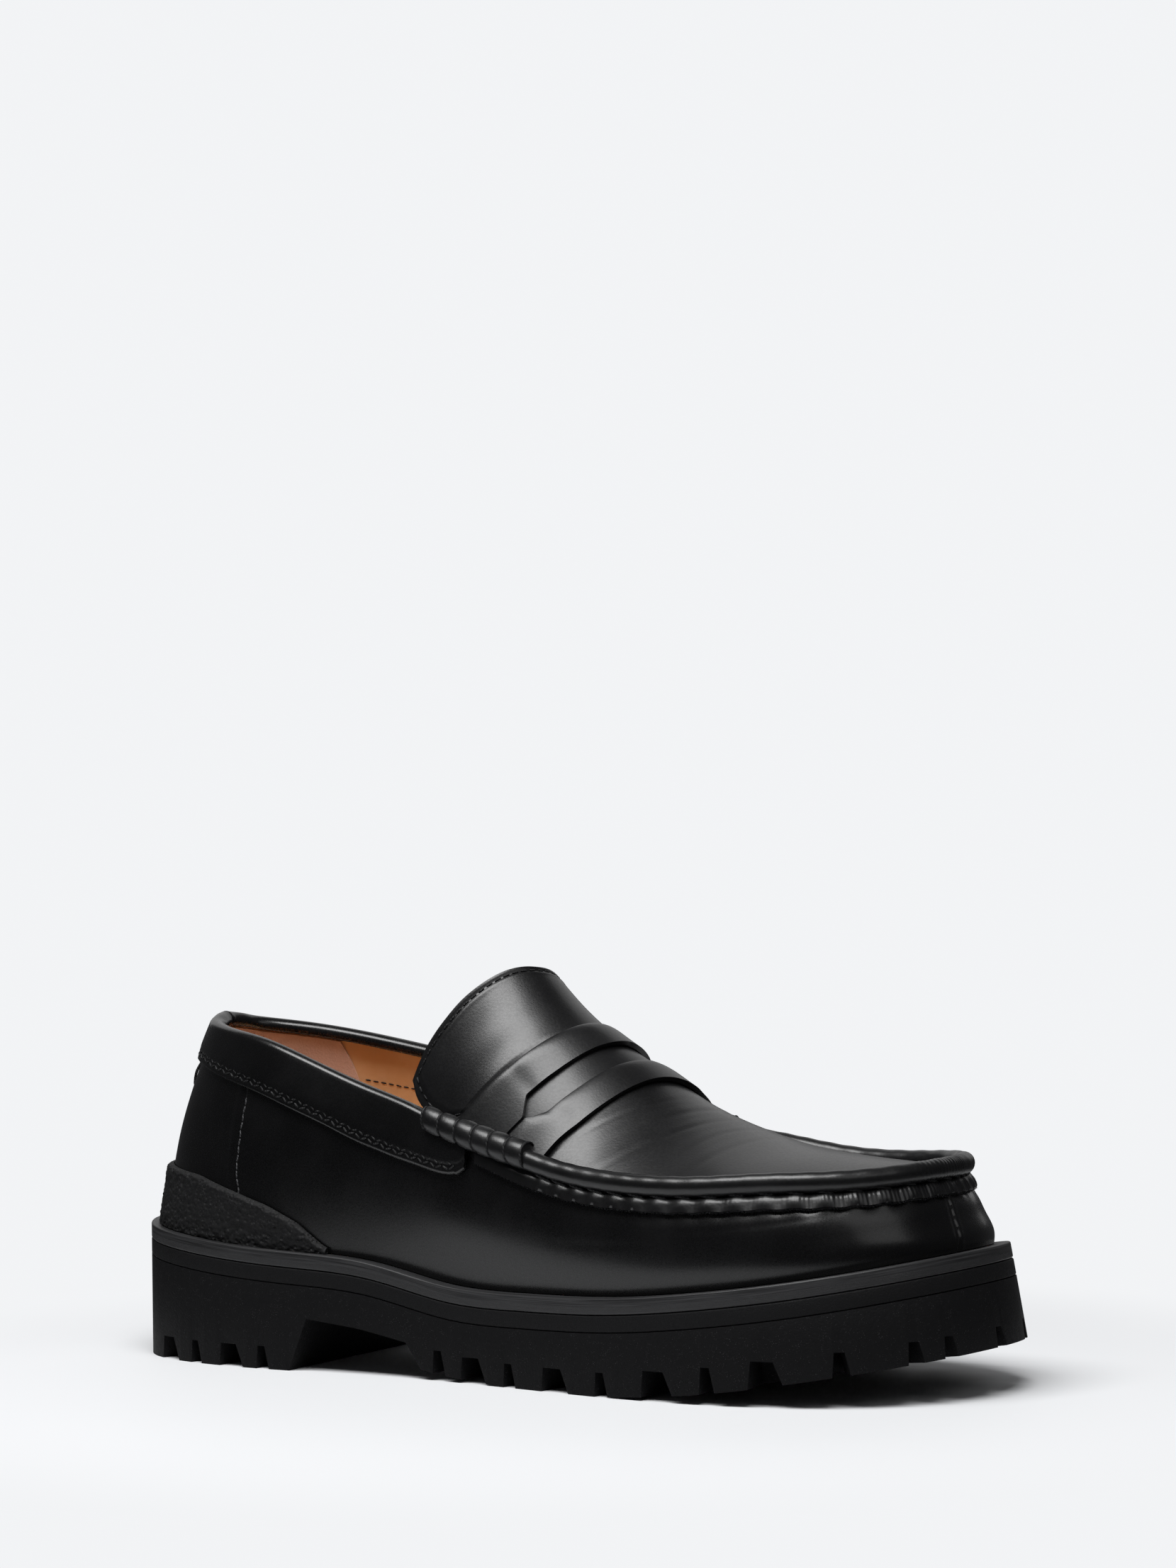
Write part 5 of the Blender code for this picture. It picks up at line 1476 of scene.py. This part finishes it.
@dataclass
class Trim:
    """Strap, moccasin seam, whipped rolls, collar band and heel wrap."""

    maker: Maker
    plan: SeamPlan
    threads: Stitching
    leather: float = 2.0 * MM
    strap: float = 1.7 * MM
    strap_reach: float = 0.985
    band: float = 1.3 * MM
    band_drop: float = 1.5 * MM
    bead: float = 3.3 * MM
    lip_drop: float = 5.2 * MM
    lip: float = 1.5 * MM
    loops: int = 6
    roll: float = 4.6 * MM
    wrap: float = 2.0 * MM
    lateral_roll: tuple = (0.2040, 0.2520)
    medial_roll: tuple = (0.2400, 0.2900)
    tuck: float = 0.024
    band_ends: tuple = (0.2235, 0.2600)
    band_levels: tuple = (0, 0.04, 0.09, 0.14, 0.19, 0.24, 0.30, 0.38, 0.48, 0.6, 0.72, 0.84, 0.93, 1)
    band_rows: tuple = (("low", 2.0 * MM), ("high", 3.4 * MM))
    band_row: Row = Row(2.6 * MM, 2.5 * MM, 0.34 * MM, 26.0, 0.10 * MM)
    pit_sizes: tuple = (560, 1150)
    # phase of the sway, length in mm, spread in mm
    loose_ends: tuple = ((0.0, 13.0, 1.3), (2.2, 10.5, -1.5))

    def saddle(self) -> None:
        """Penny strap with its long pointed slot."""
        form, maker = self.maker.form, self.maker
        w = np.linspace(-self.strap_reach, self.strap_reach, 260)
        knots = [r[0] for r in STRAP]
        front, rear = (Spline(knots, [r[k] for r in STRAP])(w) for k in (1, 4))
        low, high = (eased(w, STRAP, 0.012, k) for k in (2, 3))
        open_slot = (high - low) > 0.0045
        half = np.maximum(high - low, 0.0012) / 2
        low, high = (low + high) / 2 - half, (low + high) / 2 + half
        s = np.linspace(0, 1, 22)
        s = 0.5 - 0.5 * np.cos(math.pi * s) * (0.4 + 0.6 * np.abs(np.cos(math.pi * s)))
        t = np.concatenate([front[:, None] + (low - front)[:, None] * s,
                            high[:, None] + (rear - high)[:, None] * s], 1)
        across = w[:, None] * np.ones_like(t)
        grid = form.crown(across, t)
        thick = np.concatenate([self.strap * (1 - 0.45 * s**6), self.strap * (1 - 0.55 * s**6)])
        crease = 0.18 * MM * (bump(across, -0.62, 0.05) + bump(across, 0.55, 0.06))
        high_side = form.gap + thick[None] * np.ones_like(t) - crease
        hole = np.zeros((len(w) - 1, t.shape[1] - 1), bool)
        hole[:, 21] = open_slot[1:] & open_slot[:-1]
        piece = maker.shell("strap_leather", grid, form.gap, high_side, maker.finishes.soft, hole=hole,
                            round_by=0.45 * MM)
        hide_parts("saddle_strap")

    def bead_section(self, u: float) -> np.ndarray:
        """Rolled edge of the apron over its puckered lip.

        Args:
            u: Turn.

        Returns:
            Points of the section.
        """
        form = self.maker.form
        corner, out, up, back = form.seam_frame(u)
        n_wall, n_crown = np.array([up[1], -up[0]]), np.array([back[1], -back[0]])
        toe = max(0.0, 1 - abs(u - 0.5) / 0.05)
        start = min(1.0, max(0.0, 1 - min(u - self.lateral_roll[1], 1 - self.medial_roll[1] - u) / 0.02))
        pull = math.cos(2 * math.pi * float(self.plan.phase(u)))
        gaps = np.array([(0.35 + 0.6 * start) * MM, (0.5 + 1.0 * toe + 0.4 * start) * MM])
        notch = np.linalg.solve(np.array([n_wall, n_crown]), gaps)
        height = float(form.wall_height(np.array(u)))
        turn = min(u % 1.0, 1 - u % 1.0)
        front = min(max((turn - 0.33) / 0.08, 0.0), 1.0)
        count = float(self.plan.phase(u))
        pleat = front * (math.sin(2 * math.pi * count * 6.3) + 0.7 * math.sin(2 * math.pi * count * 3.7 + 1.1))
        drop = self.lip_drop + 0.12 * MM * pull
        wide = self.lip * (1 - 0.06 * pull) + 0.06 * MM * pleat
        flat = [notch]

        def on_wall(fall: float, away: float) -> np.ndarray:
            """Point of the section on or off the wall.

            Args:
                fall: Fall under the seam.
                away: Distance off the wall.

            Returns:
                Place outward and up from the corner.
            """
            v = np.array(1 - fall / height)
            q = form.wall(np.array(u), v) + form.wall_normal(np.array(u), v) * away - corner
            return np.array([q @ out, q[2]])

        flat += [on_wall(f, 0.3 * MM) for f in (1.3 * MM, 2.6 * MM, 4.0 * MM, drop)]
        flat += [on_wall(drop + 0.12 * MM, 0.3 * MM + wide * 0.5), on_wall(drop, 0.3 * MM + wide)]
        flat += [on_wall(drop - 0.8 * MM, 0.3 * MM + wide * (1.12 - 0.10 * pull)),
                 on_wall(drop * 0.60, 0.3 * MM + wide * (1.20 - 0.12 * pull))]
        flat.append(-up * 1.9 * MM + n_wall * (0.5 * MM + wide))
        flat.append(-up * 1.2 * MM + n_wall * (1.45 - 0.40 * pull) * MM)
        flat.append(-up * 0.6 * MM + n_wall * 1.1 * MM)
        centre = np.array([0.8 * MM, 2.9 * MM])
        radius = self.bead * (1 + 0.018 * pull - 0.03 * toe * math.cos(9 * math.pi * float(self.plan.phase(u))))
        last = math.atan2(*(meet(notch, back, centre, radius) - centre)[::-1]) % (2 * math.pi)
        angles = np.linspace(math.radians(-66), last, 22)
        flat += [centre + radius * np.array([math.cos(a), math.sin(a)]) for a in angles]
        return np.array([corner + out * a + np.array([0, 0, c]) for a, c in flat])

    def seam(self) -> None:
        """Moccasin seam with its hand stitches."""
        maker, form = self.maker, self.maker.form
        turns = np.linspace(self.lateral_roll[1] - self.tuck, 1 - self.medial_roll[1] + self.tuck, 820)
        sections = np.stack([self.bead_section(float(u)) for u in turns])
        piece = maker.loft("moccasin_seam", sections, maker.finishes.soft, sharp=60)
        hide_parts("apron_bead")
        marks = (self.plan.turns[:-1] + self.plan.turns[1:]) / 2
        marks = marks[(marks > self.lateral_roll[1] + 0.003) & (marks < 1 - self.medial_roll[1] - 0.003)]
        crease = sections[:, 10] * 0.55 + sections[:, 11] * 0.45
        away = unit(sections[:, 9] - sections[:, 1])
        step = 0.0028
        ahead = between(marks + step, turns, crease) - between(marks - step, turns, crease)
        up, ahead = unit(between(marks, turns, away)), unit(ahead + np.array([0, 0, -0.0006]))
        self.threads.run("seam_stitches", between(marks, turns, crease) + up * 0.35 * MM, ahead, up, 6.6 * MM,
                         0.62 * MM, maker.finishes.thread)
        fibres = np.linspace(turns[0], turns[-1], 1400)
        rim = between(fibres, turns, sections[:, 5])
        out = unit(between(fibres, turns, sections[:, 6] - sections[:, 4]))
        seed = np.random.default_rng(7)
        down = np.array([0, 0, -1.0]) + out * seed.uniform(-0.5, 0.5, (len(rim), 1)) + seed.normal(0, 0.35, rim.shape)
        at = rim + out * (seed.uniform(-0.5, 0.5, (len(rim), 1)) * 1.1 * MM)
        self.threads.run("lip_fibres", at, unit(down), out, 0.9 * MM, 0.045 * MM, maker.finishes.raw)

    def roll_section(self, u: float, place: float, band_end: float, grow: float = 0.0) -> np.ndarray:
        """Section of the whipped roll at the strap's end.

        Args:
            u: Turn.
            place: Place along the roll, 0 to 1.
            band_end: Turn where the collar band ends.
            grow: Added radius.

        Returns:
            Points of the section.
        """
        form = self.maker.form
        corner, out, up, back = form.seam_frame(u)
        turn = min(u % 1.0, 1 - u % 1.0)
        gap = (0.95 + 1.95 * np.clip((band_end + 0.0012 - turn) / 0.0012, 0, 1)) * MM
        notch = np.linalg.solve(np.array([[up[1], -up[0]], [back[1], -back[0]]]), np.array([gap, gap]))
        phase = place * self.loops % 1.0
        near = min(phase, 1 - phase)
        radius = self.roll * (0.86 + 0.15 * (1 - math.exp(-near / 0.10)) + 0.02 * math.sin(math.pi * phase)) + grow
        centre = np.array([0.7 * MM, (0.6 + 3.6 * place) * MM])
        first, last = (math.atan2(*(meet(notch, way, centre, radius) - centre)[::-1]) for way in (-up, back))
        last += 2 * math.pi * (last < first)
        angles = np.linspace(first, last, 26)
        flat = [notch] + [centre + radius * np.array([math.cos(a), math.sin(a)]) for a in angles]
        return np.array([corner + out * a + np.array([0, 0, c]) for a, c in flat])

    def rolls(self) -> None:
        """Both whipped rolls and the threads between their loops."""
        maker = self.maker
        for side, span in ((Side.LATERAL, self.lateral_roll), (Side.MEDIAL, self.medial_roll)):
            name, sections, paths = side.name.lower(), [], []
            for place in np.linspace(0, 1, self.loops * 22 + 1):
                u = side.round(span[0] + (span[1] - span[0]) * place)
                sections.append(self.roll_section(u, place, self.band_ends[side.value]))
            piece = maker.loft(f"whipped_roll_{name}", np.stack(sections), maker.finishes.soft, sharp=65)
            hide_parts(f"beef_roll_{name}")
            for k in range(self.loops + 1):
                place = min(max(k / self.loops, 0.004), 0.996)
                u = side.round(span[0] + (span[1] - span[0]) * place)
                paths.append(self.roll_section(u, place, self.band_ends[side.value], 0.10 * MM)[1:])
            self.tubes(f"roll_threads_{name}", paths, 0.42 * MM, maker.finishes.thread)

    def tubes(self, name: str, paths: list, radius: float, finish: bpy.types.Material) -> None:
        """Round threads along paths, in one mesh with closed ends.

        Args:
            name: Name of the piece.
            paths: Points of each thread.
            radius: Radius of the thread.
            finish: Material.
        """
        points, faces, sides = [], [], 8
        for path in paths:
            path = np.asarray(path, float)
            ahead = unit(np.gradient(path, axis=0))
            side = unit(np.cross(ahead, np.roll(ahead, 1, 0)[1] + np.array([0.11, 0.23, 0.41])))
            up = np.cross(side, ahead)
            start, count = len(points), len(path)
            size = radius * np.minimum(1, 0.35 + np.minimum(np.arange(count), np.arange(count)[::-1]) * 0.5)
            for k in range(count):
                for j in range(sides):
                    a = 2 * math.pi * j / sides
                    points.append(path[k] + (side[k] * math.cos(a) + up[k] * math.sin(a)) * size[k])
            for k in range(count - 1):
                for j in range(sides):
                    a, b = start + k * sides + j, start + k * sides + (j + 1) % sides
                    faces.append([a, b, b + sides, a + sides])
            faces.append([start + j for j in range(sides)][::-1])
            faces.append([start + (count - 1) * sides + j for j in range(sides)])
        self.maker.mesh(name, np.array(points), faces, finish, sharp=80)

    def band_section(self, u: float, low: float) -> np.ndarray:
        """Section of the padded band folded over the collar's edge.

        Args:
            u: Turn.
            low: Height of its lower edge.

        Returns:
            Points of the section.
        """
        form = self.maker.form
        here = np.array(u)
        height = float(form.wall_height(here))
        slack = 0.1 * MM + 0.35 * MM * float(bump(u, 0, 0.022))
        levels = low + (1 - low) * np.array(self.band_levels)
        q, n = form.wall(here, levels), form.wall_normal(here, levels)
        above = (levels - low) * height
        swell = 0.55 * MM * np.clip(above / (5 * MM), 0, 1) ** 0.7 * (1 - 0.5 * ((levels - low) / (1 - low)) ** 3)
        swell = swell - 0.42 * MM * bump(above, 2.6 * MM, 0.9 * MM)
        swell[0] = -0.45 * self.band
        outer = q + n * (form.gap + slack + self.band + swell)[:, None]
        outer_back = q[[0, 4, 9, 13]] + n[[0, 4, 9, 13]] * (form.gap + slack)
        top, side, up = form.wall(here, 1.0), form.wall_normal(here, 1.0), form.rise(here)
        angles = np.linspace(math.radians(12), math.radians(168), 9)
        reach = (self.leather + 2 * form.gap + 2 * self.band + 2 * slack + 0.3 * MM) / 2
        middle = top + side * (form.gap + slack + self.band + 0.2 * MM - reach)
        cap = [middle + side * math.cos(a) * reach + up * math.sin(a) * 2.3 * MM for a in angles]
        inner = np.array([1.0, 1 - self.band_drop / height * 0.5, 1 - self.band_drop / height])
        q, n = form.wall(here, inner), form.wall_normal(here, inner)
        deep = self.leather + form.gap + 0.2 * MM + slack
        face = q - n * (deep + self.band * np.array([1.0, 1.1, 0.7]))[:, None]
        back = (q - n * deep)[::-1]
        notch = [top - side * (self.leather + form.gap + slack) + up * 0.9 * MM,
                 top + side * (form.gap + slack) + up * 0.8 * MM]
        return np.concatenate([outer, cap, face, back[:-1], notch, outer_back[::-1][1:]])

    def collar(self) -> None:
        """Padded band with a zigzag stitch over its lower edge."""
        maker, form = self.maker, self.maker.form
        turns = np.linspace(-self.band_ends[1], self.band_ends[0], 520)
        place = np.where(turns > 0, turns, -turns * self.band_ends[0] / self.band_ends[1])
        low = eased(place, BAND_EDGE, 0.004)
        low = np.where(place > self.band_ends[0] - 0.004, np.interp(place, *zip(*BAND_EDGE)), low)
        sections = np.stack([self.band_section(float(u), float(v)) for u, v in zip(turns, low)])
        piece = maker.loft("padded_collar", sections, maker.finishes.leather, sharp=70)
        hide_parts("collar_band")
        keep = slice(6, -6)
        height = form.wall_height(turns)
        for row, above in self.band_rows:
            share = above / height / (1 - low)
            level = low + (1 - low) * share
            normal = form.wall_normal(turns, level)
            away = form.gap + 0.1 * MM + 0.35 * MM * bump(turns, 0, 0.022) + self.band
            path = form.wall(turns, level) + normal * away[:, None]
            self.threads.along(f"collar_stitches_{row}", path[keep], normal[keep], self.band_row,
                               maker.finishes.thread)

    def rand(self) -> None:
        """Pitted rubber wrap round the heel."""
        maker, form = self.maker, self.maker.form
        end = WRAP_TOP[-1][0]
        turns = np.linspace(-end, end, 420)
        top = eased(np.abs(turns), WRAP_TOP, 0.003)
        s = 1 - (1 - np.linspace(0, 1, 56)) ** 1.35
        u, v = np.broadcast_arrays(turns[:, None], s[None] * top[:, None])
        grid = form.wall(u, v)
        above = (1 - s)[None] * top[:, None] * form.wall_height(turns)[:, None]
        thick = self.wrap * np.sqrt(np.clip(1 - (1 - np.clip(above / (1.6 * MM), 0, 1)) ** 2, 0.05, 1))
        wide, fine = self.pit_sizes
        pits = np.array([noise.noise(Vector(q) * wide) + 0.7 * noise.noise(Vector(q) * fine)
                         for q in grid.reshape(-1, 3)]).reshape(u.shape)
        thick = thick + 0.38 * MM * pits * np.clip(above / (1 * MM), 0, 1)
        piece = maker.shell("heel_rand", grid, form.gap, form.gap + thick, maker.finishes.crepe, slot="rand_black",
                            round_by=0, sharp=60)
        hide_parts("heel_wrap")

    def tail(self) -> None:
        """Knot and two thread ends at the back of the collar."""
        form = self.maker.form
        back = form.wall(np.array(0.0), np.array(0.80)) + np.array([-3.2, 0, 0]) * MM
        down = unit(form.wall(np.array(0.0), np.array(0.5)) - form.wall(np.array(0.0), np.array(0.8)))
        s = np.linspace(0, 1, 24)[:, None]
        paths = []
        for turn, length, spread in self.loose_ends:
            sway = np.concatenate([0 * s, np.sin(s * 5 + turn) * 0.5 + spread * s, 0 * s], 1) * MM
            paths.append(back + down * s * length * MM + sway + np.array([-0.7, 0, 0]) * MM * np.sin(s * 3.1))
        a = np.linspace(0, 2 * math.pi * 0.98, 30)[:, None]
        ring = np.concatenate([np.cos(a) * 0.5, np.cos(a) * 1.7, np.sin(a) * 1.5], 1) * MM
        paths += [back + ring, back + ring[:, [0, 2, 1]] * 0.8 + down * 0.4 * MM]
        self.tubes("back_thread_ends", paths, 0.5 * MM, self.maker.finishes.thread)

    def build(self) -> None:
        """Make every piece of trim."""
        self.saddle()
        self.seam()
        self.rolls()
        self.collar()
        self.rand()
        self.tail()


@dataclass
class Studio:
    """Camera, pale floor and soft lights."""

    azimuth: float = 30.28
    elevation: float = 5.252
    distance: float = 1193.191 * MM
    focal: float = 5154.238
    offset: tuple = (-60.92, -604.188)
    roll: float = -0.912
    picture_height: float = 2212.0
    target_height: float = 50 * MM
    backdrop: tuple = (0.890, 0.900, 0.916)
    surround: tuple = (0.045, 0.045, 0.047)
    floor_tone: tuple = (0.765, 0.775, 0.79, 1.0)
    floor_radius: float = 14.0
    floor_fade: tuple = (0.16, 0.29)
    # name, place, aim, size and power
    lamps: tuple = (
        ("key", (0.0, -0.50, 1.42), (0, 0, 0.06), (1.4, 0.65), 30.0),
        ("sweep", (-0.70, 1.50, 0.95), (0, 0, 0.10), (2.6, 1.3), 6.0),
        ("front", (1.35, -0.35, 1.15), (0.05, 0, 0.05), (0.8, 0.7), 1.5),
    )

    def camera(self) -> None:
        """Camera at the photograph's angle to the shoe."""
        a, e = math.radians(self.azimuth), math.radians(self.elevation)
        back = np.array([math.sin(a) * math.cos(e), -math.cos(a) * math.cos(e), math.sin(e)])
        forward = -back
        right = unit(np.cross(forward, np.array([0, 0, 1.0])))
        up = np.cross(right, forward)
        tx, ty = self.offset[0] / self.focal, self.offset[1] / self.focal
        yaw = math.atan(tx)
        f1, r1 = math.cos(yaw) * forward - math.sin(yaw) * right, math.cos(yaw) * right + math.sin(yaw) * forward
        pitch = math.atan(ty * math.cos(yaw))
        f2, u2 = math.cos(pitch) * f1 - math.sin(pitch) * up, math.cos(pitch) * up + math.sin(pitch) * f1
        ro = math.radians(self.roll)
        r3, u3 = math.cos(ro) * r1 + math.sin(ro) * u2, -math.sin(ro) * r1 + math.cos(ro) * u2
        data = bpy.data.cameras.new("camera")
        data.sensor_width, data.lens = 36.0, 36.0 * self.focal / self.picture_height
        data.clip_start, data.clip_end = 0.05, 60.0
        made = linked("camera", data)
        place = np.array([0, 0, self.target_height]) + self.distance * back + SHIFT
        matrix = Matrix([(*row, p) for row, p in zip(np.stack([r3, u3, -f2], 1).tolist(), place.tolist())]
                        + [(0, 0, 0, 1)])
        made.matrix_world = matrix
        bpy.context.scene.camera = made

    def floor(self) -> None:
        """Pale floor that fades into the background away from the shoe."""
        bm = bmesh.new()
        bmesh.ops.create_circle(bm, cap_ends=True, segments=96, radius=self.floor_radius)
        data = bpy.data.meshes.new("floor")
        bm.to_mesh(data)
        bm.free()
        made = linked("floor", data)
        finish = bpy.data.materials.new("pale_floor")
        finish.use_nodes = True
        finish.node_tree.nodes.clear()
        graph = Graph(finish.node_tree)
        where = graph.node("ShaderNodeTexCoord", None, None, "Object")
        far = graph.node("ShaderNodeVectorMath", {"operation": "LENGTH"}, {0: where}, "Value").band(*self.floor_fade)
        near = graph.node("ShaderNodeBsdfPrincipled", None,
                          {"Base Color": self.floor_tone, "Roughness": 0.6, "Specular IOR Level": 0.1})
        seen = graph.node("ShaderNodeLightPath", None, None, "Is Camera Ray")
        away = graph.node("ShaderNodeEmission", None, {"Color": graph.mix(seen, self.surround, self.backdrop),
                                                       "Strength": 1.0})
        both = graph.node("ShaderNodeMixShader", None, {0: far, 1: near, 2: away})
        graph.node("ShaderNodeOutputMaterial", None, {"Surface": both})
        data.materials.append(finish)

    def lamp(self, name: str, place: tuple, aim: tuple, size: tuple, power: float) -> None:
        """Rectangular soft light.

        Args:
            name: Name of the light.
            place: Where it stands.
            aim: Where it points.
            size: Width and height.
            power: Power in watts.
        """
        data = bpy.data.lights.new(name, "AREA")
        data.shape, data.size, data.size_y, data.energy = "RECTANGLE", size[0], size[1], power
        made = linked(name, data)
        made.location = place
        made.rotation_euler = (Vector(aim) - Vector(place)).to_track_quat("-Z", "Y").to_euler()

    def lights(self) -> None:
        """World and three soft boxes."""
        world = bpy.data.worlds.new("studio")
        world.use_nodes = True
        world.node_tree.nodes.clear()
        graph = Graph(world.node_tree)
        seen = graph.node("ShaderNodeLightPath", None, None, "Is Camera Ray")
        tone = graph.mix(seen, self.surround, self.backdrop)
        sky = graph.node("ShaderNodeBackground", None, {"Color": tone, "Strength": 1.0})
        graph.node("ShaderNodeOutputWorld", None, {"Surface": sky})
        bpy.context.scene.world = world
        bpy.context.scene.view_settings.view_transform = "Standard"
        for lamp in self.lamps:
            self.lamp(*lamp)

    def build(self) -> None:
        """Make the whole studio."""
        self.camera()
        self.floor()
        self.lights()


def main() -> None:
    """Build the shoe in order and set the camera and lights."""
    logging.basicConfig(level=logging.INFO, format="%(message)s")
    form = Form()
    maker = Maker(form, Finishes())
    plan, threads = SeamPlan(form), Stitching()
    Studio().build()
    SoleUnit(maker).build()
    Upper(maker, plan, threads).build()
    Trim(maker, plan, threads).build()


if __name__ == "__main__":
    main()
